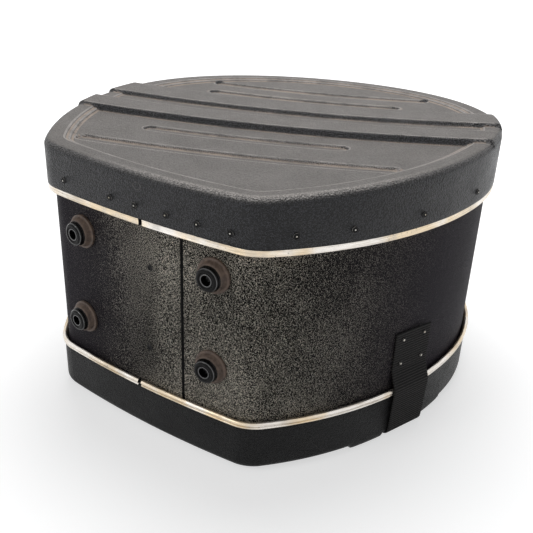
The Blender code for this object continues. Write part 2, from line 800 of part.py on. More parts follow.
def buckle_frame(look, parent):
    """Two cheeks joined by a bar at the top and a plate behind the strap."""
    plane = buckle_plane()
    plate_out = TAIL_OUT - SLIDE_CLEARANCE
    foot = BAR_HEIGHT - BUCKLE_HEIGHT
    crown = BAR_HEIGHT + 2 * BAR_RADIUS
    outer = TAIL_OUT + STRAP_THICKNESS + CHEEK_REACH
    cheek = [
        (BAR_OUT - 2 * BAR_RADIUS, crown),
        (BAR_OUT - 2 * BAR_RADIUS, BAR_HEIGHT - 2 * BAR_RADIUS),
        (plate_out - BUCKLE_PLATE, LEVER_HEIGHT),
        (plate_out - BUCKLE_PLATE, foot),
        (LEVER_OUT - LEVER_RADIUS, foot),
        (outer, LEVER_HEIGHT - LEVER_RADIUS),
        (outer, LEVER_HEIGHT + LEVER_RADIUS),
        (plate_out, crown),
    ]
    hole = circle((LEVER_OUT, LEVER_HEIGHT), PIN_RADIUS + TOUCH_GAP)
    inner = STRAP_WIDTH / 2 + CHEEK_GAP
    back = [
        (plate_out - BUCKLE_PLATE, foot),
        (plate_out, foot),
        (plate_out, LEVER_HEIGHT),
        (plate_out - BUCKLE_PLATE, LEVER_HEIGHT),
    ]
    made = plate("buckle_frame", [back], 2 * inner + CHEEK_THICKNESS, plane)
    bar_place = plane @ Matrix.Translation((BAR_OUT, BAR_HEIGHT, 0))
    bar = rod("bar", BAR_RADIUS, 2 * inner + CHEEK_THICKNESS, bar_place)
    for side in (-1, 1):
        shift = Matrix.Translation(UP * side * (inner + CHEEK_THICKNESS / 2))
        made = combined(made, plate("cheek", [cheek, hole], CHEEK_THICKNESS, plane @ shift), "UNION")
    finished(combined(made, bar, "UNION"), look, parent)


def buckle_lever(look, parent):
    """A cam that hangs on its pin between the cheeks. Its origin is on the pin."""
    pin = buckle_plane() @ Matrix.Translation((LEVER_OUT, LEVER_HEIGHT, 0))
    cam = arc((0, 0), (LEVER_RADIUS, LEVER_RADIUS), 0, CAM_TURN, ROUND_STEPS // 2)
    outline = cam + [(LEVER_RADIUS - LEVER_PLATE, -LEVER_RADIUS), (LEVER_RADIUS - LEVER_PLATE, -LEVER_LENGTH)]
    outline += [(LEVER_RADIUS, -LEVER_LENGTH)]
    made = plate("buckle_lever", [outline], STRAP_WIDTH + CHEEK_GAP, pin)
    stub = rod("pin", PIN_RADIUS, STRAP_WIDTH + 2 * CHEEK_GAP + CHEEK_THICKNESS, pin)
    finished(combined(made, stub, "UNION"), look, parent)


# Handle

def handle_axis_y():
    return DEPTH - WALL_INSET + HANDLE_STANDOFF


def sideways(x, y, height):
    """A frame whose Z axis runs along X, with X to the back and Y up."""
    matrix = Matrix(((0, 0, 1), (1, 0, 0), (0, 1, 0))).to_4x4()
    matrix.translation = (x, y, height)
    return matrix


def handle_bracket(number, side, look, parent):
    """A plate riveted to the wall, with a lug that holds one end of the bail."""
    wall_radius = HALF_WIDTH - WALL_INSET
    angle = math.acos(side * HANDLE_HALF / wall_radius)
    seat = facing_out(angle, WALL_INSET - TOUCH_GAP, HANDLE_HEIGHT)
    half, tall, corner = BRACKET_WIDTH / 2, BRACKET_LENGTH / 2, BRACKET_CORNER
    outline = []
    for quarter, (x, y) in enumerate(((1, 1), (-1, 1), (-1, -1), (1, -1))):
        centre = (x * (half - corner), y * (tall - corner))
        first = quarter * math.pi / 2
        outline += arc(centre, (corner, corner), first, first + math.pi / 2, BEND_STEPS)
    middle = seat @ Matrix.Translation(UP * BRACKET_PLATE / 2)
    made = plate(f"handle_bracket_{number}", [outline], BRACKET_PLATE, middle)
    plate_y = (seat @ Vector((0, 0, BRACKET_PLATE / 2))).y - handle_axis_y()
    lug = arc((0, 0), (LUG_RADIUS, LUG_RADIUS), -math.pi / 2, math.pi / 2, ROUND_STEPS // 2)
    lug += [(plate_y, LUG_RADIUS), (plate_y, -LUG_RADIUS)]
    hole = circle((0, 0), BAIL_RADIUS + SLIDE_CLEARANCE)
    place = sideways(side * HANDLE_HALF, handle_axis_y(), HANDLE_HEIGHT)
    finished(combined(made, plate("lug", [lug, hole], LUG_THICKNESS, place), "UNION"), look, parent)
    return seat


def handle_bail(look, parent):
    """A round wire: two ends in the lugs, two arms down and a straight run for the grip."""
    end = HANDLE_HALF + LUG_THICKNESS / 2 + BAIL_END
    arm = HANDLE_HALF - LUG_THICKNESS / 2 - BAIL_SLACK - BAIL_BEND
    upper = arc((arm + BAIL_BEND, -BAIL_BEND), (BAIL_BEND, BAIL_BEND), math.pi / 2, math.pi, BEND_STEPS)
    low = BAIL_BEND - HANDLE_DROP
    lower = arc((arm - BAIL_BEND, low), (BAIL_BEND, BAIL_BEND), 0, -math.pi / 2, BEND_STEPS)
    half = [(end, 0)] + upper + lower
    curve = bpy.data.curves.new("handle_bail", "CURVE")
    curve.dimensions = "3D"
    curve.bevel_depth = BAIL_RADIUS
    curve.bevel_resolution = 2
    curve.use_fill_caps = True
    route = half + [(-x, z) for x, z in half[::-1]]
    spline = curve.splines.new("POLY")
    spline.points.add(len(route) - 1)
    for point, (x, z) in zip(spline.points, route):
        point.co = (x, 0, z, 1)
    finished(added("handle_bail", curve, parent.matrix_world), look, parent)


def handle_grip(look, parent):
    """A sleeve on the bail's straight run."""
    bore = BAIL_RADIUS + SLIDE_CLEARANCE
    profile = [
        (bore, GRIP_HALF),
        (GRIP_RADIUS - GRIP_EDGE, GRIP_HALF),
        (GRIP_RADIUS, GRIP_HALF - GRIP_EDGE),
        (GRIP_RADIUS, GRIP_EDGE - GRIP_HALF),
        (GRIP_RADIUS - GRIP_EDGE, -GRIP_HALF),
        (bore, -GRIP_HALF),
        (bore, GRIP_HALF),
    ]
    place = sideways(0, handle_axis_y(), HANDLE_HEIGHT - HANDLE_DROP)
    finished(turned("handle_grip", profile, ROUND_STEPS, place), look, parent)


def handle_rivets(seats, look, parent):
    number = 0
    for seat in seats:
        for rise in (-BRACKET_RIVET_SPREAD, BRACKET_RIVET_SPREAD):
            number += 1
            place = seat @ Matrix.Translation((0, rise, BRACKET_PLATE + TOUCH_GAP))
            finished(rivet(f"handle_rivet_{number}", place), look, parent)


# Whole case

def centre_box(root):
    """Moves the whole case so that the middle of its box is over the origin."""
    bpy.context.view_layer.update()
    graph = bpy.context.evaluated_depsgraph_get()
    points = []
    for thing in collection.objects:
        if thing.type == "EMPTY":
            continue
        mesh = thing.evaluated_get(graph).to_mesh()
        points += [thing.matrix_world @ vertex.co for vertex in mesh.vertices]
    for axis in (0, 1):
        values = [point[axis] for point in points]
        root.location[axis] -= (min(values) + max(values)) / 2


def build():
    cleared()
    shell_look = material("grained_shell", (0.060, 0.056, 0.053), 0.55)
    lid_look = material("lid_shell", (0.022, 0.021, 0.021), 0.45)
    sheet_look = material("speckled_sheet", (0.030, 0.030, 0.031), 0.60)
    metal_look = material("edging_metal", (0.78, 0.76, 0.73), 0.28, 1.0)
    rivet_look = material("rivet_metal", (0.60, 0.58, 0.54), 0.35, 1.0)
    rubber_look = material("foot_rubber", (0.030, 0.027, 0.025), 0.50)
    webbing_look = material("webbing", (0.020, 0.020, 0.021), 0.85)
    lining_look = material("lining", (0.050, 0.050, 0.053), 0.95)
    black_look = material("black_paint", (0.025, 0.025, 0.026), 0.40)

    root = pivot("case_root", (0, 0, 0))
    body = pivot("case_body_slide", (0, 0, WALL_FOOT), root)
    handle = pivot("handle_hinge", (0, handle_axis_y(), HANDLE_HEIGHT), body)

    finished(lid_shell(), lid_look, root)
    finished(edging("lid_edging", LID_SPLIT, lid_section), metal_look, root)
    finished(pad("lid_pad", LID_FLOOR + TOUCH_GAP), lining_look, root)
    finished(back_shell(), shell_look, body)
    finished(edging("back_edging", BACK_SPLIT, back_section), metal_look, body)
    finished(pad("back_pad", WALL_TOP + TOUCH_GAP), lining_look, body)
    finished(wall_sheet(), sheet_look, body)
    finished(wall_liner(), lining_look, body)
    wall_rivets(rivet_look, body)
    feet(rubber_look, rivet_look, body)

    strap(webbing_look, body, root)
    strap_rivets(rivet_look, body)
    buckle_tab(webbing_look, body)
    buckle_rivets(rivet_look, body)
    buckle_frame(black_look, body)
    buckle_lever(black_look, body)

    seats = [handle_bracket(number, side, black_look, body) for number, side in ((1, -1), (2, 1))]
    handle_rivets(seats, rivet_look, body)
    handle_bail(black_look, handle)
    handle_grip(rubber_look, handle)
    centre_box(root)


build()
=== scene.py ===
"""The drum case's looks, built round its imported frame, with a studio and the photograph's camera."""

import math

import bmesh
import bpy
import numpy as np
from mathutils import Matrix, Vector, geometry, noise


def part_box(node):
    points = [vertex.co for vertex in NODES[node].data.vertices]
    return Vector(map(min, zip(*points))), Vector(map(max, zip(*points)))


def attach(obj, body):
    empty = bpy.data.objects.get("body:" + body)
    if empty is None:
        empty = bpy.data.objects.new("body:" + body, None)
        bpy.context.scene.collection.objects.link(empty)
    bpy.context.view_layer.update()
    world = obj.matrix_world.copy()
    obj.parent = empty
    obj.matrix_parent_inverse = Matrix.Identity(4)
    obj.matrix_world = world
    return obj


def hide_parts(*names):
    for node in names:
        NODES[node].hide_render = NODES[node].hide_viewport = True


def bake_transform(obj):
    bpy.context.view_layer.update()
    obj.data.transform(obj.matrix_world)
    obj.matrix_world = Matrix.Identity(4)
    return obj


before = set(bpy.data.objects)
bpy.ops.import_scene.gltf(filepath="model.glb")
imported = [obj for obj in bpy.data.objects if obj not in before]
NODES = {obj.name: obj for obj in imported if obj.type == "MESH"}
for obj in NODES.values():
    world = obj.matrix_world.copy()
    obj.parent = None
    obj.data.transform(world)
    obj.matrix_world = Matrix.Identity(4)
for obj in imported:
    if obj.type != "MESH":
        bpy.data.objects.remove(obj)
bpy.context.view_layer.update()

# Camera, in metres in the case's own frame
CAMERA_PLACE = Vector((0.4535, -0.7073, 0.5030))
CAMERA_LOOK = Vector((-0.4956, 0.7500, -0.4380))
CAMERA_ROLL = 0.0437
CAMERA_LENS = 49.83
CAMERA_SENSOR = 36.0
CAMERA_SHIFT = (-0.0018, 0.0017)

# Sizes that the solids have too, in metres
FLAT_HALF = 0.112
FLAT_RADIUS = 1.100
CORNER_RADIUS = 0.044
CORNER_TURN = math.radians(41.5)
SIDE_RADIUS = 0.360
TOUCH_GAP = 0.0003
STRAP_CLEARANCE = 0.0007
SHELL_THICKNESS = 0.003
SHOULDER_RADIUS = 0.007
RIM_INSET = 0.022
RECESS_DEPTH = 0.004
RECESS_SLOPE = 0.005
RIB_HEIGHT = 0.004
RIB_FLANK = 0.004
RIB_END_INSET = 0.0006
CHANNEL_DROP = 0.0015
GROOVE_WIDTH = 0.018
GROOVE_MARGIN = 0.003
BACK_HEIGHT = 0.044
BACK_TURN = math.radians(19.1)
BACK_RIBS = ((0.185, 0.228), (0.256, 0.308))
BACK_LONG_GROOVES = (0.089, 0.395)
BACK_SHORT_GROOVES = ((0.150, -0.055, 0.170), (0.345, -0.048, 0.200))
SIDE_RISE = 0.007
REAR_TWIST = 0.0065
LID_SKIRT_INSET = 0.0028
LID_RIB_WIDTH = 0.046
LID_LONG_GROOVES = (0.089, 0.395)
LID_SHORT_GROOVES = ((0.127, -0.170, 0.055), (0.345, -0.200, 0.048))
WALL_INSET = 0.0075
WALL_THICKNESS = 0.003
LAP_STEP = 0.0012
LAP_EDGE = 0.049
LAP_START = -0.060
LAP_RAMP = 0.015
LINER_THICKNESS = 0.005
PAD_INSET = 0.0073
SPLIT_GAP = 0.0035
BACK_SPLIT = 0.007
LID_SPLIT = -0.003
BACK_EDGING_INSET = 0.0002
BACK_EDGING_HEIGHT = 0.0076
BACK_EDGING_FACE = 0.0064
LID_EDGING_INSET = 0.0056
BEAD_RADIUS = 0.0024
BEAD_INSET = 0.0026
BEAD_RISE = 0.0043
LIP_INSET = 0.0009
LIP_HEIGHT = 0.0015
STRAP_WIDTH = 0.050
STRAP_THICKNESS = 0.002
STRAP_PLACE = 0.233
STRAP_TOP = 0.125
STRAP_LEAVES_WALL = 0.080
CHANNEL_MARGIN = 0.002
BAR_HEIGHT = 0.128
BAR_RADIUS = 0.0014
TAB_THICKNESS = 0.0012
STRAP_TAIL = 0.038
GRIP_RADIUS = 0.0085

# Sizes that only the shapes here have
# Each step into the top's recess: share of the depth, start and end from the rim's inset
RIM_STEPS = ((0.45, -0.0020, 0.0006), (0.55, 0.0026, RECESS_SLOPE + 0.0008))
GROOVE_LOOK_DEPTH = 0.0030
GROOVE_LIP = 0.0004
SOFTNESS = 0.0011
FAR_BELOW = -9.0
FINE_STEP = 0.0013
LID_FINE_STEP = 0.0022
SKIRT_ROW = 0.004
SKIRT_STRAIGHT = 0.024
PANEL_INSET = 0.031
FLANK_INSIDE = 0.0022
FLANK_OUTSIDE = 0.0034
# Distances between the panel's lines and between the points of one, in steps
LINE_GAP = 2.2
POINT_GAP = 1.8
# Inset and height of the bend from the skirt's inside to the top's inside
INNER_BEND = ((SHELL_THICKNESS, -0.0105), (0.0045, -0.0086), (0.009, -0.0079), (PANEL_INSET, -0.0079))
SEAM_WIDTH = 0.0022
SEAM_DEPTH = 0.0020
SEAM_REACH = 0.002
SEAM_LIP = 0.0004
# Distance from the lapped end and inset from the lapped face, round the sheet's cut edge
LAP_END = ((-0.0002, 0.0002), (0, 0.0006))
LAP_FLAT_END = 0.0007
LAP_FADE = 0.0012
# Depth, seed and rate of the unevenness along the lapped end
LAP_WAVES = ((0.0005, 0, 40), (0.0002, 5, 160))
WALL_COLUMNS = 300
LAP_COLUMNS = 39
WALL_ROWS = 49
PAD_ROUND = 0.004
PAD_CHAMFER = (0.0004, 0.0006)
PAD_ROWS = (0.012, 0.022, 0.034)
PAD_SAG = 0.0008
PAD_COLUMNS = 240
LINING_COLUMNS = 300
EDGING_COLUMNS = 620
# Depths and rows of the two edgings' dents, and how many there are in a metre
BACK_DENTS = (0.00010, 0)
LID_DENTS = (0.00008, 9)
DENT_RATE = 30
SPLIT_WIDER = 0.0008
# Radius and height of a rivet's head
RIVET = (0.0032, 0.0016)
SMALL_RIVET = (0.0024, 0.0010)
RIB_PITCH = 0.0029
RIB_DEPTH = 0.00045
PLY_DEPTH = 0.00007
PLY_RATES = (5200, 2400)
STRAP_STEP = 0.00058
STRAP_WANDER = 0.0002
STRAP_WANDER_RATE = 26
# Shares of the webbing's thickness: how far its edge is rounded, and its outer and inner faces
BAND_RIM, BAND_OUTER, BAND_INNER = 0.45, 0.97, 0.03
TAB_RISE = 0.038
TAB_FOLD = 0.0095
TAB_NARROWER = 0.002
GRIP_END = 0.0025
GRIP_RING_PITCH = 0.0092
GRIP_RING_DEPTH = 0.0009
GRIP_STEP = 0.0006
FLOOR_HALF = 12

# Sizes and places of the looks
RELIEF_SPREAD = 0.0016
RELIEF_LOW = 0.006
RELIEF_HIGH = 0.055
SHOULDER_FADE = 0.003
# Centre and reach of the painted highlight on the front corner's shoulder
HIGHLIGHT_CORNER = (0.125, -0.235)
HIGHLIGHT_REACH = 0.24
LOOP_PLACE = (0.0092, 0.2745)
LOOP_RADIUS = 0.0044
LOOP_SQUASH = 1.25
LOOP_WANDER = 0.0006
GRAIN_DEPTH = 0.0016
FIBRE_DEPTH = 0.0012
# The way to the front corner, along which the painted sheen on the speckle varies
ALONG_FRONT = (0.834, 0.552, 0)
FLANGE_TOP = 0.0087
FLANGE_INNER = 0.0126
# Least and most radius, and least height, of the rings of painted highlight on a foot's cap and collar
HIGHLIGHT_RINGS = ((0.0103, 0.0113, 0.0125), (0.0050, 0.0064, 0.0136))
# Distances from the case between which the floor's own light grows, and its strength there
FLOOR_FADE = (0.3, 1.1)
FLOOR_GLOW = (0.62, 0.97)

# Places read from the frame
ORIGIN = Vector((sum(corner.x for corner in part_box("lid_shell")) / 2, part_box("back_shell")[0].y, 0))
BACK_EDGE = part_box("back_shell")[0].z
BACK_RIM = BACK_EDGE + BACK_HEIGHT
LID_RIM = RIB_HEIGHT
LID_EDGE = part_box("lid_shell")[1].z
WALL_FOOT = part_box("wall_sheet")[0].z
WALL_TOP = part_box("wall_sheet")[1].z
UP = Vector((0, 0, 1))


# Outline in plan. Its points are named by the angle faced, -90 degrees at the flat's middle

def direction(angle):
    return Vector((math.cos(angle), math.sin(angle), 0))


def outline_arcs():
    flat_end = FLAT_HALF / FLAT_RADIUS - math.pi / 2
    corner_end = flat_end + CORNER_TURN
    flat = Vector((0, FLAT_RADIUS, 0))
    corner = flat + (FLAT_RADIUS - CORNER_RADIUS) * direction(flat_end)
    side = corner - (SIDE_RADIUS - CORNER_RADIUS) * direction(corner_end)
    return [
        (0, flat.y, FLAT_RADIUS, -math.pi / 2, flat_end),
        (corner.x, corner.y, CORNER_RADIUS, flat_end, corner_end),
        (side.x, side.y, SIDE_RADIUS, corner_end, 0),
        (0, side.y, side.x + SIDE_RADIUS, 0, math.pi / 2),
    ]


ARCS = outline_arcs()
HALF_ROUND = sum(radius * (last - first) for _, _, radius, first, last in ARCS)
HALF_WIDTH = ARCS[-1][2]
DEPTH = ARCS[-1][1] + ARCS[-1][2]


def outline(angles, inset=0.0):
    """Points (n, 2) of the outline facing the angles, moved in."""
    turned_angles = (np.asarray(angles, float) + math.pi / 2) % (2 * math.pi) - math.pi / 2
    left = turned_angles > math.pi / 2
    facing = np.where(left, math.pi - turned_angles, turned_angles)
    x, y = np.zeros_like(facing), np.zeros_like(facing)
    for centre_x, centre_y, radius, _, last in reversed(ARCS):
        here = facing <= last + 1e-9
        x = np.where(here, centre_x + (radius - inset) * np.cos(facing), x)
        y = np.where(here, centre_y + (radius - inset) * np.sin(facing), y)
    return np.stack([np.where(left, -x, x), y], -1)


def angles_at(distances):
    """The angles faced at distances round the outline from the flat's middle, right being positive."""
    distances = np.asarray(distances, float)
    left = np.abs(distances)
    facing = np.full_like(left, -math.pi / 2)
    for _, _, radius, first, last in ARCS:
        length = radius * (last - first)
        facing += np.clip(left, 0, length) / radius
        left = np.maximum(left - length, 0)
    return np.where(distances >= 0, facing, math.pi - facing)


def angles_round(count):
    """The angles faced at count even places all the way round the outline."""
    return angles_at((np.arange(count) / count - 0.5) * 2 * HALF_ROUND)


def wrapped(distances):
    """Distances round the outline, brought to within half the way round to each side."""
    places = distances % (2 * HALF_ROUND)
    return np.where(places > HALF_ROUND, places - 2 * HALF_ROUND, places)


def inset_of(points):
    """How far in from the outline each point (n, 2) is, and the angle faced there."""
    x, y = np.abs(points[:, 0]), points[:, 1]
    best = np.full(len(points), 9.0)
    facing = np.zeros(len(points))
    for centre_x, centre_y, radius, first, last in ARCS:
        angle = np.arctan2(y - centre_y, x - centre_x)
        inset = radius - np.hypot(x - centre_x, y - centre_y)
        better = (angle >= first - 1e-6) & (angle <= last + 1e-6) & (inset < best)
        best = np.where(better, inset, best)
        facing = np.where(better, angle, facing)
    return best, np.where(points[:, 0] < 0, math.pi - facing, facing)


def reach(distance, turn, side, inset):
    """How far along the turned direction a line runs before it leaves the outline."""
    across = direction(turn + math.pi / 2)
    near, far = turn + math.pi / 2 - side * math.pi, turn + math.pi / 2
    for _ in range(50):
        middle = (near + far) / 2
        point = outline(middle, inset)
        if point[0] * across.x + point[1] * across.y < distance:
            near = middle
        else:
            far = middle
    return side * float(point @ np.array(direction(turn))[:2])


# Numbers and meshes

def ease(first, last, value):
    share = np.clip((value - first) / (last - first), 0, 1)
    return share * share * (3 - 2 * share)


def soft_max(one, other, softness):
    share = np.clip(0.5 + 0.5 * (one - other) / softness, 0, 1)
    return other * (1 - share) + one * share + softness * share * (1 - share)


def placed(name, data, body=None):
    """An object in the scene, riding on its body where it has one."""
    thing = bpy.data.objects.new(name, data)
    bpy.context.scene.collection.objects.link(thing)
    if body:
        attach(thing, body)
    return thing


def made(name, points, faces, looks, body, marks=None, uvs=None, sharp=None):
    """A smooth mesh object from outline coordinates. marks gives each face its material's number,
    and edges of more than sharp degrees stay sharp."""
    mesh = bpy.data.meshes.new(name)
    mesh.from_pydata([(x + ORIGIN.x, y + ORIGIN.y, z) for x, y, z in points], [], faces)
    if uvs:
        layer = mesh.uv_layers.new(name="flat").data
        for loop in mesh.loops:
            layer[loop.index].uv = uvs[loop.vertex_index]
    for look in looks:
        mesh.materials.append(look)
    if marks:
        mesh.polygons.foreach_set("material_index", marks)
    shape = bmesh.new()
    shape.from_mesh(mesh)
    bmesh.ops.recalc_face_normals(shape, faces=shape.faces)
    shape.to_mesh(mesh)
    shape.free()
    mesh.shade_smooth()
    if sharp:
        mesh.set_sharp_from_angle(angle=math.radians(sharp))
    return placed(name, mesh, body)


def ring_at(angles, inset, height):
    return [(x, y, height) for x, y in outline(angles, inset)]


def joined(one, other, count):
    """Quads between two rings of count points, from the numbers of their first points."""
    return [(one + number, one + (number + 1) % count, other + (number + 1) % count, other + number)
            for number in range(count)]


def fan(ring, hub, count):
    """Triangles between a ring of count points and one point."""
    return [(ring + number, ring + (number + 1) % count, hub) for number in range(count)]


def grid_faces(rows, count, start=0):
    """Quads over rows of rings of count points."""
    starts = range(start, start + rows * count, count)
    return [face for low, high in zip(starts, starts[1:]) for face in joined(low, high, count)]


def tube_faces(rows, count):
    """Quads over rows of rings of count points, and a face over each end."""
    return grid_faces(rows, count) + [tuple(range(count)), tuple(range((rows - 1) * count, rows * count))]


def filleted(corners, steps=4):
    """An outline from (x, y, radius) corners, each rounded to its radius, 0 for a sharp one."""
    points = []
    for number, (x, y, radius) in enumerate(corners):
        here = np.array((x, y), float)
        if not radius:
            points.append(here)
            continue
        before = np.array(corners[number - 1][:2], float) - here
        after = np.array(corners[(number + 1) % len(corners)][:2], float) - here
        before, after = before / np.linalg.norm(before), after / np.linalg.norm(after)
        half = math.acos(max(-1, min(1, float(before @ after)))) / 2
        reach_back = radius / math.tan(half)
        middle = here + (before + after) / np.linalg.norm(before + after) * radius / math.sin(half)
        start, end = here + before * reach_back - middle, here + after * reach_back - middle
        turn = math.atan2(start[0] * end[1] - start[1] * end[0], float(start @ end))
        for step in range(steps + 1):
            cos, sin = math.cos(turn * step / steps), math.sin(turn * step / steps)
            points.append(middle + (start[0] * cos - start[1] * sin, start[0] * sin + start[1] * cos))
    return [tuple(point) for point in points]


def spun(profile, steps, matrix):
    """Points and faces of a profile of (radius, height) turned about the matrix's Z axis, and how many
    faces each span of the profile has."""
    points, faces, rows = [], [], []
    for radius, height in profile:
        around = steps if radius > 1e-7 else 1
        rows.append(range(len(points), len(points) + around))
        for step in range(around):
            turn = 2 * math.pi * step / steps
            points.append(matrix @ Vector((radius * math.cos(turn), radius * math.sin(turn), height)))
    spans = []
    for lower, upper in zip(rows, rows[1:]):
        first = len(faces)
        for step in range(steps):
            after = step + 1
            face = tuple(dict.fromkeys((lower[step % len(lower)], lower[after % len(lower)],
                                        upper[after % len(upper)], upper[step % len(upper)])))
            if len(face) > 2:
                faces.append(face)
        spans.append(len(faces) - first)
    return points, faces, spans


def seat_of(node, out=None):
    """The frame that a fastener or foot sits on: Z out of the wall, Y up, in outline coordinates."""
    points = np.array([vertex.co for vertex in NODES[node].data.vertices]) - np.array(ORIGIN)
    middle = (points.min(0) + points.max(0)) / 2
    if out is None:
        _, facing = inset_of(middle[None, :2])
        out = direction(float(facing[0]))
    low = (points @ np.array(out)).min()
    matrix = Matrix((UP.cross(out), UP, out)).transposed().to_4x4()
    matrix.translation = Vector(middle) + out * (low - Vector(middle).dot(out))
    return matrix


# Looks. Each is a graph of nodes over the case's own coordinates

def scaled(colour, share):
    return tuple(channel * share for channel in colour)


class Value:
    """A node's output, which can be added to, taken from, multiplied and made positive."""

    def __init__(self, graph, socket):
        self.graph, self.socket = graph, socket

    def __add__(self, other):
        return self.graph.math("ADD", self, other)

    def __sub__(self, other):
        return self.graph.math("SUBTRACT", self, other)

    def __mul__(self, other):
        return self.graph.math("MULTIPLY", self, other)

    def __abs__(self):
        return self.graph.math("ABSOLUTE", self)


class Graph:
    """A tree of nodes under construction."""

    def __init__(self, tree):
        self.tree = tree

    def node(self, kind, output, settings=None, values=(), **inputs):
        """One output of a new node, or None. values go to its first sockets, inputs to those they name."""
        new = self.tree.nodes.new("ShaderNode" + kind)
        for key, value in (settings or {}).items():
            setattr(new, key, value)
        for socket, value in zip(new.inputs, values):
            self.set(socket, value)
        for key, value in inputs.items():
            self.set(new.inputs[key.replace("_", " ")], value)
        return Value(self, new.outputs[output]) if output else None

    def set(self, socket, value):
        if isinstance(value, Value):
            self.tree.links.new(value.socket, socket)
        else:
            socket.default_value = (*value, 1) if socket.type == "RGBA" else value

    def math(self, operation, *values):
        return self.node("Math", "Value", {"operation": operation}, values)

    def vector_math(self, operation, *values):
        return self.node("VectorMath", "Value", {"operation": operation}, values)

    def span(self, value, low, high, to_low=0.0, to_high=1.0):
        return self.node("MapRange", "Result", {"interpolation_type": "SMOOTHSTEP"}, Value=value,
                         From_Min=low, From_Max=high, To_Min=to_low, To_Max=to_high)

    def background_shows(self):
        """1 for the rays that meet the background: the camera's, a gloss's and those through glass."""
        rays = [self.node("LightPath", f"Is {kind} Ray") for kind in ("Camera", "Glossy", "Transmission")]
        return self.math("MAXIMUM", self.math("MAXIMUM", *rays[:2]), rays[2])


class Look(Graph):
    """A material under construction."""

    def __init__(self, name):
        self.material = bpy.data.materials.new(name)
        self.material.use_nodes = True
        super().__init__(self.material.node_tree)
        self.shader = self.tree.nodes["Principled BSDF"]
        self.place = self.node("TexCoord", "Object")

    def noise(self, scale, detail, roughness, vector=None):
        return self.node("TexNoise", "Fac", Scale=scale, Detail=detail, Roughness=roughness,
                         Vector=vector or self.place)

    def cells(self, scale, feature, randomness=1.0, vector=None):
        return self.node("TexVoronoi", "Distance", {"feature": feature}, Scale=scale, Randomness=randomness,
                         Vector=vector or self.place)

    def mix(self, share, one, other):
        return self.node("Mix", "Result", {"data_type": "RGBA"}, Factor=share, A=one, B=other)

    def stretched(self, x, y, z):
        return self.node("Mapping", "Vector", Vector=self.place, Scale=(x, y, z))

    def axis(self, name, vector=None):
        return self.node("SeparateXYZ", name, values=(vector or self.place,))

    def attribute(self, name):
        return self.node("Attribute", "Fac", {"attribute_name": name})

    def bump(self, height, distance, strength, **normal):
        return self.node("Bump", "Normal", Strength=strength, Distance=distance, Height=height, **normal)

    def done(self, **sockets):
        for key, value in sockets.items():
            self.set(self.shader.inputs[key.replace("_", " ")], value)
        return self.material


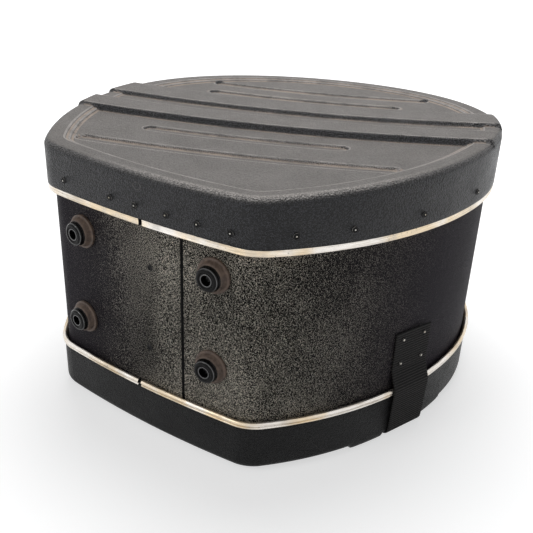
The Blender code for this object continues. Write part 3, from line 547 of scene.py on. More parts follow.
def shell_look(name, dark, dust_and_light_colour, dust_and_light_share, grain_size, shine):
    """Grained moulded plastic. What faces up is paler, partly dusted over and partly painted top light, and
    the creases are dusted.
    Painted highlights lie pale on the ridges, along the shoulder and above all on the shoulder at the front
    corner."""
    look = Look(name)
    patches = look.noise(9.0, 4.0, 0.6)
    facing_up = look.axis("Z", look.node("NewGeometry", "Normal"))

    spots = look.cells(1 / grain_size, "F1", 0.95) * 0.8 + look.noise(420.0, 3.0, 0.75) * 0.5
    colour = look.mix(look.span(spots, 0.42, 0.74), scaled(dark, 4.4), scaled(dark, 0.30))
    # What faces up is painted a paler grey: partly dusted over, partly painted top light.
    grey = look.mix(look.span(look.noise(26.0, 4.0, 0.7), 0.3, 0.7), scaled(dust_and_light_colour, 0.90), scaled(dust_and_light_colour, 1.08))
    grey = look.mix(look.span(spots, 0.40, 0.90, 0.0, 0.60), grey, scaled(dust_and_light_colour, 0.38))
    dust_and_top_light = look.span(facing_up, 0.80, 0.98) * look.span(patches, 0.2, 0.75, 0.86, 1.0)
    colour = look.mix(dust_and_top_light * dust_and_light_share, colour, grey)

    rounding = look.attribute("rounding")
    # Painted highlight: a pale band along the shoulder, where the grain catches the light.
    shoulder = look.span(facing_up, 0.22, 0.55) * look.span(facing_up, 0.98, 0.74) * rounding
    rubbing_and_highlight = shoulder * look.span(spots, 0.95, 0.35) * look.span(patches, 0.30, 0.60, 0.45, 1.0)
    colour = look.mix(rubbing_and_highlight * (0.36 * dust_and_light_share), colour, scaled(dust_and_light_colour, 1.5))
    # Painted highlight: a paler patch on the shoulder round the front corner.
    from_corner = look.vector_math("DISTANCE", look.stretched(1, 1, 0), (*HIGHLIGHT_CORNER, 0))
    wear_and_highlight = look.span(from_corner, HIGHLIGHT_REACH, HIGHLIGHT_REACH / 6) * rounding * look.span(facing_up, 0.52, 0.74)
    wear_and_highlight = wear_and_highlight * look.span(look.noise(640.0, 2.0, 0.7), 0.44, 0.60, 0.15, 1.0)
    colour = look.mix(wear_and_highlight * (0.75 * dust_and_light_share), colour, scaled(dust_and_light_colour, 2.5))

    relief = look.attribute("relief")
    broken = look.span(look.noise(34.0, 3.0, 0.7), 0.30, 0.62, 0.35, 1.0) * look.span(facing_up, 0.60, 0.88)
    crease = look.span(relief, RELIEF_LOW, RELIEF_HIGH) * broken
    warm = (dust_and_light_colour[0] * 1.85, dust_and_light_colour[1] * 1.62, dust_and_light_colour[2] * 1.42)
    colour = look.mix(crease * (0.85 * dust_and_light_share), colour, warm)
    # Painted highlight along the ridges.
    ridge = look.span(relief, -RELIEF_LOW, -RELIEF_HIGH) * broken
    colour = look.mix(ridge * (0.75 * dust_and_light_share), colour, scaled(dust_and_light_colour, 1.95))

    hairs = look.cells(1.0, "DISTANCE_TO_EDGE", vector=look.stretched(46, 30, 38))
    scratches = look.span(hairs, 0.0, 0.005, 1.0, 0.0) * look.span(look.noise(13.0, 2.0, 0.5), 0.60, 0.68)
    colour = look.mix(scratches * 0.25, colour, (0.42, 0.40, 0.38))
    x, z = LOOP_PLACE
    from_loop = look.vector_math("DISTANCE", look.stretched(1, 0, LOOP_SQUASH), (x, 0, LOOP_SQUASH * z))
    off_loop = abs(from_loop - LOOP_RADIUS) + look.noise(220.0, 2.0, 0.5) * LOOP_WANDER
    on_loop = look.span(off_loop, 0.0003, 0.0008, 1.0, 0.0) * look.span(look.axis("Y"), -0.22, -0.24)
    colour = look.mix(on_loop * 0.45, colour, (0.36, 0.34, 0.32))

    grain = look.cells(1 / grain_size, "SMOOTH_F1", 0.9) + look.noise(900.0, 2.0, 0.6) * 0.4
    rough = look.span(look.noise(30.0, 3.0, 0.6), 0.3, 0.7, 0.34, 0.44) + dust_and_top_light * 0.3
    return look.done(Base_Color=colour, Roughness=rough, Normal=look.bump(grain, GRAIN_DEPTH, 1.0),
                     Specular_IOR_Level=shine)


def sheet_look():
    """Rough black fibre sheet with crisp pale speckles. Towards its lapped edge and the front corner a
    painted sheen makes them denser and paler and the ground darker.
    """
    look = Look("speckled_sheet")
    fibres = look.noise(1900.0, 1.0, 0.6)
    share = look.noise(960.0, 2.0, 0.8) * 0.68 + fibres * 0.32
    along = look.vector_math("DOT_PRODUCT", look.place, ALONG_FRONT)
    # Painted sheen: towards the front corner the flecks are paler and denser and the ground darker.
    front = look.span(along, -0.240, -0.085) * look.span(along, 0.18, -0.02)
    front = front * look.span(look.axis("Y"), 0.08, -0.08)
    dense = front * 0.050 + look.span(look.noise(8.0, 3.0, 0.6), 0.35, 0.7, -0.025, 0.020)
    ground = look.mix(front, (0.019, 0.016, 0.021), (0.004, 0.004, 0.0035))
    flecks = look.mix(front, (0.110, 0.096, 0.108), (0.92, 0.85, 0.72))
    colour = look.mix(look.span(share + dense, 0.566, 0.606), ground, flecks)
    return look.done(Base_Color=colour, Roughness=look.span(fibres, 0.35, 0.65, 0.48, 0.66),
                     Normal=look.bump(share, FIBRE_DEPTH, 0.8), Specular_IOR_Level=0.06)


def metal_look(name, silver, tint, rough_low, rough_high):
    """Bright trim that was rolled, handled and a little stained, with fine lines along its length."""
    look = Look(name)
    colour = look.mix(look.span(look.noise(16.0, 3.0, 0.6), 0.40, 0.60), silver, tint)
    dull = look.span(look.noise(33.0, 3.0, 0.6), 0.50, 0.68, 0.0, 0.55)
    colour = look.mix(dull, colour, scaled(silver, 0.55))
    rubbing_and_highlight = look.noise(1.0, 3.0, 0.6, look.stretched(30, 30, 1300))
    colour = look.mix(look.span(rubbing_and_highlight, 0.48, 0.66, 0.0, 0.55), colour, scaled(tint, 0.52))
    specks = look.span(look.noise(380.0, 2.0, 0.7), 0.66, 0.72)
    colour = look.mix(specks * 0.6, colour, (0.10, 0.08, 0.06))
    lines = look.bump(rubbing_and_highlight, 0.0006, 0.6)
    normal = look.bump(look.noise(120.0, 2.0, 0.5), 0.0008, 0.3, Normal=lines)
    return look.done(Base_Color=colour, Roughness=look.span(rubbing_and_highlight, 0.3, 0.7, rough_low, rough_high),
                     Normal=normal, Metallic=0.9)


def paint_look(name, colour, wear_and_highlight, rough, edge_pointiness=0.52, shine=0.5):
    """Black paint, with bright metal along its edges where it wore through. The same look also gives a
    rivet's ring of painted highlight and the near-black painted shade in hollows.
    """
    look = Look(name)
    spots = look.noise(420.0, 3.0, 0.65)
    edge = look.span(look.node("NewGeometry", "Pointiness"), edge_pointiness, edge_pointiness + 0.05)
    edge = edge * look.span(spots, 0.45, 0.6)
    base = look.mix(look.span(look.noise(150.0, 2.0, 0.6), 0.3, 0.7), scaled(colour, 0.7), colour)
    return look.done(Base_Color=look.mix(edge, base, wear_and_highlight), Metallic=edge, Specular_IOR_Level=shine,
                     Roughness=look.span(spots, 0.3, 0.7, rough - 0.06, rough + 0.08),
                     Normal=look.bump(spots, 0.0002, 0.3))


def rubber_look(name, dark, dust_and_light_colour, share, rough, grain=0.4, shine=0.35):
    look = Look(name)
    dirt = look.noise(170.0, 4.0, 0.65)
    colour = look.mix(look.span(dirt, 0.5 - share, 1.0 - share), dark, dust_and_light_colour)
    return look.done(Base_Color=colour, Roughness=look.span(dirt, 0.3, 0.7, rough, rough + 0.15),
                     Normal=look.bump(look.noise(900.0, 2.0, 0.6), 0.0003, grain), Specular_IOR_Level=shine)


def webbing_look():
    """Ribbed webbing, its threads running across each rib. UVs are in metres: along, then across."""
    look = Look("webbing")
    flat = look.node("UVMap", "UV", {"uv_map": "flat"})

    def waves(way, scale, distortion):
        return look.node("TexWave", "Fac", {"wave_type": "BANDS", "bands_direction": way}, Vector=flat,
                         Scale=scale, Distortion=distortion, Detail=2.0)

    weave = waves("Y", 260.0, 1.2) * 0.6 + waves("X", 360.0, 2.0) * 0.4
    ribs = waves("X", 2 * math.pi / (20 * RIB_PITCH), 0.0)
    fluff = look.noise(500.0, 3.0, 0.7)
    colour = look.mix(look.span(weave, 0.2, 0.9), (0.012, 0.011, 0.011), (0.075, 0.070, 0.067))
    # Painted shade: near-black in the grooves between the ribs.
    colour = look.mix(look.span(ribs, 0.35, 0.85), (0.002, 0.002, 0.002), colour)
    colour = look.mix(look.span(fluff, 0.62, 0.75, 0.0, 0.35), colour, (0.07, 0.068, 0.066))
    return look.done(Base_Color=colour, Roughness=0.75, Normal=look.bump(weave, 0.0004, 0.7),
                     Specular_IOR_Level=0.2)


def lining_look():
    look = Look("lining")
    pile = look.noise(800.0, 3.0, 0.8)
    patches = look.noise(20.0, 3.0, 0.6)
    colour = look.mix(look.span(pile, 0.3, 0.7), (0.022, 0.022, 0.026), (0.060, 0.060, 0.068))
    colour = look.mix(look.span(patches, 0.45, 0.75, 0.0, 0.5), colour, (0.045, 0.043, 0.045))
    return look.done(Base_Color=colour, Roughness=0.95, Normal=look.bump(pile, 0.0012, 0.7),
                     Sheen_Weight=0.3, Sheen_Roughness=0.4)


BACK_LOOK = shell_look("grained_shell", dark=(0.016, 0.016, 0.018), dust_and_light_colour=(0.196, 0.182, 0.171),
                       dust_and_light_share=0.95, grain_size=0.0014, shine=0.30)
LID_LOOK = shell_look("lid_shell", dark=(0.007, 0.007, 0.0073), dust_and_light_colour=(0.060, 0.057, 0.054),
                      dust_and_light_share=0.3, grain_size=0.0011, shine=0.15)
SHEET_LOOK = sheet_look()
EDGING_LOOK = metal_look("edging_metal", (0.86, 0.82, 0.77), (0.80, 0.66, 0.47), 0.24, 0.42)
STEEL_LOOK = metal_look("rivet_steel", (0.66, 0.64, 0.60), (0.50, 0.44, 0.36), 0.22, 0.40)
RIVET_LOOK = paint_look("rivet_paint", (0.004, 0.004, 0.004), (0.30, 0.28, 0.26), 0.20, edge_pointiness=0.70, shine=0.14)
# Painted highlight: a pale ring round each rivet head's edge.
RIM_HIGHLIGHT_LOOK = paint_look("rivet_rim_highlight", (0.05, 0.047, 0.045), (0.17, 0.16, 0.15), 0.22, edge_pointiness=0.0)
# Painted shade: near-black on the edgings' cut ends in their split and in the wall's seam, where shade falls;
# in the seam it stands for dirt as well.
HOLLOW_SHADE_LOOK = paint_look("hollow_shade", (0.004, 0.004, 0.004), (0.03, 0.03, 0.03), 0.6)
FLANGE_LOOK = rubber_look("foot_flange", (0.055, 0.038, 0.030), (0.240, 0.172, 0.135), 0.30, 0.42)
CAP_LOOK = rubber_look("foot_cap", (0.004, 0.004, 0.004), (0.030, 0.026, 0.023), -0.15, 0.16, 0.06, 0.12)
# Painted highlight: a pale, glossy ring on the edges of the feet's caps and collars.
EDGE_LOOK = rubber_look("foot_highlight_ring", (0.010, 0.010, 0.010), (0.30, 0.28, 0.26), 0.0, 0.06, 0.0, 1.0)
WEBBING_LOOK = webbing_look()
LINING_LOOK = lining_look()
BLACK_LOOK = paint_look("black_paint", (0.014, 0.014, 0.015), (0.50, 0.48, 0.45), 0.30, edge_pointiness=0.60)
GRIP_LOOK = rubber_look("grip_rubber", (0.020, 0.020, 0.021), (0.050, 0.048, 0.046), 0.0, 0.48)


# Shells

def shell_top(points, inset, turn, ribs, long_grooves, short_grooves, clear):
    """A shell face's height over its rim's level at points (n, 2) at known insets from its skirt."""
    along = points @ np.array(direction(turn))[:2]
    across = points @ np.array(direction(turn + math.pi / 2))[:2]
    height = np.zeros(len(points))
    for share, first, last in RIM_STEPS:
        height = height - share * RECESS_DEPTH * ease(RIM_INSET + first, RIM_INSET + last, inset)
    half = GROOVE_WIDTH / 2
    pressed = np.zeros(len(points))
    runs = [(place, -reach(place, turn, -1, clear), reach(place, turn, 1, clear)) for place in long_grooves]
    for place, first, last in runs + list(short_grooves):
        nearest = np.clip(along, first + half, last - half)
        away = np.hypot(along - nearest, across - place)
        groove = -GROOVE_LOOK_DEPTH * ease(half + SOFTNESS / 2, half - SOFTNESS, away)
        lip = GROOVE_LIP * np.exp(-(((away - half - SOFTNESS) / SOFTNESS) ** 2))
        pressed = np.minimum(pressed, groove) + lip
    height = height + pressed
    (_, first), (last, _) = ribs
    between = ease(first - RIB_FLANK, first - RIB_FLANK / 2, across)
    between *= ease(last + RIB_FLANK, last + RIB_FLANK / 2, across)
    channel = -RECESS_DEPTH + between * (RECESS_DEPTH - CHANNEL_DROP)
    channel = np.where((inset > RIM_INSET) & (between > 0), channel, FAR_BELOW)
    height = soft_max(height, channel, SOFTNESS / 2)
    for first, last in ribs:
        face = RECESS_DEPTH + RIB_HEIGHT
        rise = np.clip(np.minimum(across - first, last - across) / RIB_FLANK, 0, 1)
        rib = -RECESS_DEPTH - SOFTNESS + (face + SOFTNESS) * rise * rise * (3 - 2 * rise)
        height = soft_max(height, np.where(rise > 0, rib, FAR_BELOW), SOFTNESS)
    return height


def shell_rings(inset, foot, turn, ribs, grooves, step, rows):
    """Rings of (points, heights over the rim) up a shell's outside, and its top's height as a function."""
    count = int(2 * HALF_ROUND / step)
    angles = angles_round(count)
    clear = inset + RIM_INSET + RECESS_SLOPE + GROOVE_MARGIN

    def top(points, depth_in):
        return shell_top(points, depth_in, turn, ribs, *grooves, clear)

    def raised_at(depth_in):
        shoulder = np.full(count, SHOULDER_RADIUS)
        return np.clip(top(outline(angles, depth_in), shoulder), 0, RIB_HEIGHT)

    raised = raised_at(inset + SHOULDER_RADIUS)
    rings = [(outline(angles, inset), foot + (raised - SHOULDER_RADIUS - foot) * share)
             for share in np.linspace(0, 1, rows)]
    for turned_by in np.radians(np.arange(10, 91, 10)):
        depth_in = inset + SHOULDER_RADIUS * (1 - math.cos(turned_by))
        raised_here = raised + (raised_at(depth_in) - raised) * math.sin(turned_by)
        depth_in = depth_in + RIB_END_INSET * raised_here / RIB_HEIGHT
        rings.append((outline(angles, depth_in), raised_here - SHOULDER_RADIUS * (1 - math.sin(turned_by))))
    for depth_in in np.arange(SHOULDER_RADIUS + step, PANEL_INSET + step / 2, step):
        points = outline(angles, inset + depth_in)
        rings.append((points, top(points, np.full(count, depth_in))))
    return rings, top


def panel(edge, top, inset, turn, ribs, grooves, step):
    """Points and triangles of a shell's inner face, denser where its ribs and grooves run."""
    along, across = np.array(direction(turn))[:2], np.array(direction(turn + math.pi / 2))[:2]
    lines = []
    for first, last in ribs:
        for place, inward in ((first, RIB_FLANK), (last, -RIB_FLANK)):
            lines += list(np.linspace(place - 0.3 * inward, place + 1.3 * inward, 8))
    half = GROOVE_WIDTH / 2
    near, far = half - FLANK_INSIDE, half + FLANK_OUTSIDE
    for place in list(grooves[0]) + [place for place, _, _ in grooves[1]]:
        for side in (-1, 1):
            lines += list(np.linspace(place + side * near, place + side * far, 7))
    low, high = (edge @ across).min(), (edge @ across).max()
    for place in np.arange(low, high, LINE_GAP * step):
        if min(abs(place - line) for line in lines) > LINE_GAP / 2 * step:
            lines.append(place)
    inner = []
    for number, place in enumerate(sorted(lines)):
        run = np.arange(-DEPTH, DEPTH, POINT_GAP * step) + POINT_GAP / 2 * step * (number % 2)
        inner.append(run[:, None] * along + place * across)
    turns = np.linspace(-math.pi / 2, math.pi / 2, 15)
    for place, first, last in grooves[1]:
        for end, side in ((first + half, -1), (last - half, 1)):
            for radius in np.linspace(near, far, 7):
                run = end + side * radius * np.cos(turns)
                inner.append(run[:, None] * along + (place + radius * np.sin(turns))[:, None] * across)
    inner = np.concatenate(inner)
    depth_in, _ = inset_of(inner)
    inner = inner[depth_in > inset + PANEL_INSET + 0.6 * step]
    everything = [Vector(point) for point in np.concatenate([edge, inner])]
    count = len(edge)
    ring = [(number, (number + 1) % count) for number in range(count)]
    points, _, triangles, _, _, _ = geometry.delaunay_2d_cdt(everything, ring, [], 1, 1e-6)
    points = np.array([tuple(point) for point in points])
    depth_in, _ = inset_of(points)
    return points, triangles, top(points, depth_in - inset)


def shell(name, inset, height, turn, ribs, grooves, level, look, body, step, replaced):
    """A whole shell as one closed mesh. level turns outline points and heights into heights in the case."""
    rings, top = shell_rings(inset, -height, turn, ribs, grooves, step, max(6, int(height / SKIRT_ROW)))
    edge = rings[-1][0]
    count = len(edge)
    points = []
    for place, heights in rings:
        points += [(x, y, level(x, y, z)) for (x, y), z in zip(place, heights)]
    faces = grid_faces(len(rings), count)
    inner_points, triangles, inner_heights = panel(edge, top, inset, turn, ribs, grooves, step)
    start = len(points) - count
    corners = []
    for number, (x, y) in enumerate(inner_points):
        if number < count and np.hypot(*(edge[number] - (x, y))) < 1e-5:
            corners.append(start + number)
        else:
            corners.append(len(points))
            points.append((x, y, level(x, y, inner_heights[number])))
    faces += [tuple(corners[corner] for corner in triangle) for triangle in triangles]
    inside = [(SHELL_THICKNESS, -height), (SHELL_THICKNESS, -height + SKIRT_STRAIGHT), *INNER_BEND]
    angles = angles_round(count)
    first = len(points)
    for depth_in, z in inside:
        points += [(x, y, level(x, y, z)) for x, y in outline(angles, inset + depth_in)]
    hub = len(points)
    points.append((0, DEPTH / 2, level(0, DEPTH / 2, INNER_BEND[-1][1])))
    faces += grid_faces(len(inside), count, first) + joined(0, first, count) + fan(hub - count, hub, count)
    thing = made(name, points, faces, [look], body)
    flat = np.array(points)[:, :2]
    shoulder = ease(SHOULDER_RADIUS + SHOULDER_FADE, SHOULDER_RADIUS, inset_of(flat)[0] - inset)
    for key, values in (("relief", creasing(flat, inset, top, first)), ("rounding", shoulder)):
        thing.data.attributes.new(key, "FLOAT", "POINT").data.foreach_set("value", values)
    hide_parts(replaced)
    return thing


def creasing(points, inset, top, outside_count):
    """How creased (over 0) or ridged (under 0) a shell's outer face is at its first points, 0 at the rest."""
    depth_in = inset_of(points)[0] - inset
    height = top(points, depth_in)
    around = np.zeros(len(points))
    for turn in np.arange(8) * math.pi / 4:
        beside = points + RELIEF_SPREAD * np.array((math.cos(turn), math.sin(turn)))
        around += top(beside, inset_of(beside)[0] - inset) / 8
    value = (around - height) / RELIEF_SPREAD
    value[depth_in < SHOULDER_RADIUS + RELIEF_SPREAD] = 0
    value[outside_count:] = 0
    return value


def back_level(x, y, height):
    share = min(1, max(0, (BACK_HEIGHT + height) / (BACK_HEIGHT - SHOULDER_RADIUS)))
    rise = SIDE_RISE * (x / HALF_WIDTH) ** 2 + REAR_TWIST * x / HALF_WIDTH * y / DEPTH
    return BACK_RIM + height + share * rise


def lid_level(_, __, height):
    return LID_RIM - height


near_rib = STRAP_PLACE - STRAP_WIDTH / 2 - CHANNEL_MARGIN
far_rib = STRAP_PLACE + STRAP_WIDTH / 2 + CHANNEL_MARGIN
LID_RIBS = ((near_rib - LID_RIB_WIDTH, near_rib), (far_rib, far_rib + LID_RIB_WIDTH))
back = shell("back_moulding", 0, BACK_HEIGHT, BACK_TURN, BACK_RIBS, (BACK_LONG_GROOVES, BACK_SHORT_GROOVES),
             back_level, BACK_LOOK, "case_body", FINE_STEP, "back_shell")
lid = shell("lid_moulding", LID_SKIRT_INSET, LID_EDGE - LID_RIM, -BACK_TURN, LID_RIBS,
            (LID_LONG_GROOVES, LID_SHORT_GROOVES), lid_level, LID_LOOK, "lid", LID_FINE_STEP, "lid_shell")


# Wall, its lining and the pads

def wall():
    """The bent sheet, with the crevice along its lapped end and both faces."""
    start, end = 2 * HALF_ROUND + LAP_START, 2 * HALF_ROUND + LAP_EDGE
    lapped, crevice = WALL_INSET - LAP_STEP, WALL_INSET + SEAM_DEPTH
    ramp = np.linspace(start, start + LAP_RAMP, 8)[1:]
    flat = np.linspace(start + LAP_RAMP, end - LAP_FLAT_END, LAP_COLUMNS + 1)[1:]
    spans = [
        ((LAP_EDGE + SEAM_WIDTH, LAP_EDGE + SEAM_WIDTH + SEAM_LIP), (crevice, WALL_INSET)),
        (np.linspace(LAP_EDGE + 0.003, start, WALL_COLUMNS), [WALL_INSET] * WALL_COLUMNS),
        (ramp, WALL_INSET - LAP_STEP * ease(start, start + LAP_RAMP, ramp)),
        (flat, [lapped] * LAP_COLUMNS),
        ([end + past for past, _ in LAP_END], [lapped + deep for _, deep in LAP_END]),
        ([end + 0.0001], [crevice]),
    ]
    runs, insets = (np.concatenate(column) for column in zip(*spans))
    from_seam = np.minimum(np.abs(runs - LAP_EDGE), np.abs(runs - end))
    near_seam = np.exp(-(from_seam / SEAM_REACH) ** 2)
    points = []
    for height in np.linspace(WALL_FOOT, WALL_TOP, WALL_ROWS):
        wave = sum(depth * noise.noise((seed, 0, height * rate)) for depth, seed, rate in LAP_WAVES)
        points += ring_at(angles_at(wrapped(runs + wave * near_seam)), insets, height)
    count, first = len(runs), len(points)
    faces = grid_faces(WALL_ROWS, count)
    # The lapped end's cut edge and the crevice take the near-black look: painted shade and dirt in the seam.
    marks = [int(number % count >= count - 3) for number in range(len(faces))]
    for height in (WALL_FOOT, WALL_TOP):
        points += ring_at(angles_at(wrapped(runs)), WALL_INSET + WALL_THICKNESS, height)
    faces += grid_faces(2, count, first) + joined(0, first, count)
    faces += joined(first - count, first + count, count)
    marks += [0] * (len(faces) - len(marks))
    thing = made("wall_bent", points, faces, [SHEET_LOOK, HOLLOW_SHADE_LOOK], "case_body", marks, sharp=38)
    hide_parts("wall_sheet")


def lining():
    """The foam on the wall's inside, one section all the way round."""
    outer = WALL_INSET + WALL_THICKNESS + TOUCH_GAP
    inner = outer + LINER_THICKNESS
    section = filleted([(outer, WALL_FOOT, 0.0005), (outer, WALL_TOP, 0.0005), (inner, WALL_TOP, 0.002),
                        (inner, WALL_FOOT, 0.002)])
    count = LINING_COLUMNS
    points = []
    for inset, height in section:
        points += ring_at(angles_round(count), inset, height)
    faces = grid_faces(len(section), count) + joined(len(points) - count, 0, count)
    thing = made("lining_foam", points, faces, [LINING_LOOK], "case_body")
    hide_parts("wall_liner")


def pad(name, node, body, side):
    """A foam pad with rounded edges. side is where its soft face is: 1 up, -1 down."""
    low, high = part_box(node)
    thick = high.z - low.z
    base, top = (low.z, high.z) if side > 0 else (high.z, low.z)
    count = PAD_COLUMNS
    angles = angles_round(count)
    rows = [(PAD_INSET + PAD_CHAMFER[0], base), (PAD_INSET, base + side * PAD_CHAMFER[1])]
    for turned_by in np.radians(np.arange(0, 91, 15)):
        rows.append((PAD_INSET + PAD_ROUND * (1 - math.cos(turned_by)),
                     top - side * PAD_ROUND * (1 - math.sin(turned_by))))
    rows += [(PAD_INSET + depth_in, top) for depth_in in PAD_ROWS]
    points = []
    for inset, height in rows:
        points += ring_at(angles, inset, height)
    edge = outline(angles, rows[-1][0])
    centre = np.array((0, DEPTH / 2))
    for share in np.linspace(1, 0, 14)[1:-1]:
        sag = side * PAD_SAG * min(1, (1 - share) * 4)
        points += [(x, y, top - sag * (1 + noise.noise((x * 18, y * 18, thick * 90))))
                   for x, y in centre + (edge - centre) * share]
    hub = len(points)
    points += [(*centre, top - side * PAD_SAG), (*centre, base)]
    faces = grid_faces(hub // count, count) + fan(hub - count, hub, count) + fan(0, hub + 1, count)
    thing = made(name, points, faces, [LINING_LOOK], body)
    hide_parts(node)


wall()
lining()
pad("lid_foam", "lid_pad", "lid", 1)
pad("back_foam", "back_pad", "case_body", -1)


# Edgings

def lapped_inset(distances):
    """The wall's outer inset at distances round, less where its sheet laps."""
    rise = ease(LAP_START, LAP_START + LAP_RAMP, distances) * ease(LAP_EDGE + LAP_FADE, LAP_EDGE, distances)
    return WALL_INSET - LAP_STEP * rise


def edging(name, split, section, look, body, node):
    """An edging swept round the case, open at its split, with its ends closed."""
    gap = SPLIT_GAP + SPLIT_WIDER
    distances = split + gap / 2 + np.arange(0, 1, 1 / EDGING_COLUMNS) * (2 * HALF_ROUND - gap)
    distances = np.append(distances, split - gap / 2 + 2 * HALF_ROUND)
    place = wrapped(distances)
    points = []
    for angle, wall_inset, distance in zip(angles_at(place), lapped_inset(place) - TOUCH_GAP, distances):
        insets, heights = zip(*section(float(wall_inset), float(distance)))
        flat = outline(np.full(len(insets), angle), np.array(insets))
        points += [(x, y, height) for (x, y), height in zip(flat, heights)]
    faces = tube_faces(len(distances), len(points) // len(distances))
    # The two end faces take the near-black look: painted shade in the split.
    marks = [0] * (len(faces) - 2) + [1, 1]
    thing = made(name, points, faces, [look, HOLLOW_SHADE_LOOK], body, marks, sharp=50)
    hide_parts(node)


def dented(distance, depth, row):
    """A slight unevenness in from a face, from 0 to twice the depth."""
    return depth * noise.noise((distance * DENT_RATE, row, 0)) + depth


def back_section(wall_inset, distance):
    """Sheet metal: a nearly upright face under the skirt, its lower edge bent in to the wall."""
    top = BACK_EDGE - TOUCH_GAP
    foot, face_foot = top - BACK_EDGING_HEIGHT, top - BACK_EDGING_FACE
    face = BACK_EDGING_INSET + dented(distance, *BACK_DENTS)
    return filleted([
        (face, top, 0.0003),
        (face, top - 0.0009, 0.0002),
        (face + 0.00022, top - 0.0013, 0.0002),
        (face + 0.00030, face_foot + 0.0016, 0.0002),
        (face + 0.00008, face_foot + 0.0011, 0.0002),
        (face + 0.00010, face_foot, 0.0009),
        (wall_inset - 0.0012, foot + 0.0002, 0.0003),
        (wall_inset - 0.0009, foot, 0.0002),
        (wall_inset, foot, 0),
        (wall_inset, top, 0),
    ], 3)


def lid_section(_, distance):
    """A rolled bead over a short lip, with a crease between them."""
    foot = LID_EDGE + TOUCH_GAP
    bead = foot + BEAD_RISE
    dent = dented(distance, *LID_DENTS)
    lip, lip_top = LIP_INSET + dent, foot + LIP_HEIGHT
    lower = filleted([(LID_EDGING_INSET, foot, 0), (lip, foot, 0.0003), (lip, lip_top, 0.0004),
                      (lip + 0.0009, lip_top + 0.0002, 0)], 3)
    around = [(BEAD_INSET + dent + BEAD_RADIUS * math.cos(turn), bead + BEAD_RADIUS * math.sin(turn))
              for turn in np.radians(np.linspace(256, 50, 14))]
    return lower + around + [(LID_EDGING_INSET, bead)]


edging("upper_edging", BACK_SPLIT, back_section, EDGING_LOOK, "case_body", "back_edging")
edging("lower_edging", LID_SPLIT, lid_section, EDGING_LOOK, "lid", "lid_edging")


# Fasteners and feet

def spun_piece(name, parts, body, nodes):
    """One mesh from several (profile, steps, matrix, looks) parts, with a look for each of its spans."""
    points, faces, marks, looks = [], [], [], []
    for profile, steps, matrix, part_looks in parts:
        new_points, new_faces, spans = spun(profile, steps, matrix)
        start = len(points)
        points += [tuple(point) for point in new_points]
        faces += [tuple(start + corner for corner in face) for face in new_faces]
        for span, look in zip(spans, part_looks):
            if look not in looks:
                looks.append(look)
            marks += [looks.index(look)] * span
    thing = made(name, points, faces, looks, body, marks, sharp=50)
    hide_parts(*nodes)


def rivet_parts(seat, size, bright):
    """A low domed head with a pale ring of painted highlight round its edge, and the bright broken stem in
    its pressed-in middle.
    size is the head's radius and height, and both profiles are in shares of it."""
    head = [(0, 0), (1, 0), (1, 0.30), (0.90, 0.62), (0.76, 0.86), (0.66, 0.96), (0.52, 1), (0.46, 0.90),
            (0.42, 0.55), (0, 0.45)]
    looks = [RIVET_LOOK] * (len(head) - 1)
    # The third span of the head is the ring of painted highlight.
    looks[2] = RIM_HIGHLIGHT_LOOK
    stem = [(0, 0.4), (bright, 0.4), (bright, 0.85), (bright * 0.7, 1.0), (0, 1.04)]
    parts = [(head, 24, looks), (stem, 14, [STEEL_LOOK] * 4)][:2 if bright else 1]
    radius, height = size
    return [([(radius * out, height * up) for out, up in profile], steps, seat, part_looks)
            for profile, steps, part_looks in parts]


def rivets(name, prefix, count, size, out=None, bright=0.26):
    nodes = [f"{prefix}_{number}" for number in range(1, count + 1)]
    parts = []
    for node in nodes:
        parts += rivet_parts(seat_of(node, out), size, bright)
    spun_piece(name, parts, "case_body", nodes)


STRAP_ALONG = direction(-BACK_TURN)
rivets("skirt_rivet_heads", "skirt_rivet", 18, RIVET, bright=0.24)
rivets("lap_rivet_heads", "lap_rivet", 2, RIVET, bright=0)
rivets("handle_rivet_heads", "handle_rivet", 4, RIVET)
rivets("strap_rivet_heads", "strap_rivet", 4, SMALL_RIVET, STRAP_ALONG, 0.50)
rivets("buckle_rivet_heads", "buckle_rivet", 4, SMALL_RIVET, -STRAP_ALONG, 0.50)


def foot_look(radius, height):
    if height < FLANGE_TOP and radius > FLANGE_INNER:
        return FLANGE_LOOK
    # The rings of painted highlight take the pale look.
    rubbing_and_highlight = any(inner < radius < outer and height > over for inner, outer, over in HIGHLIGHT_RINGS)
    return EDGE_LOOK if rubbing_and_highlight else CAP_LOOK


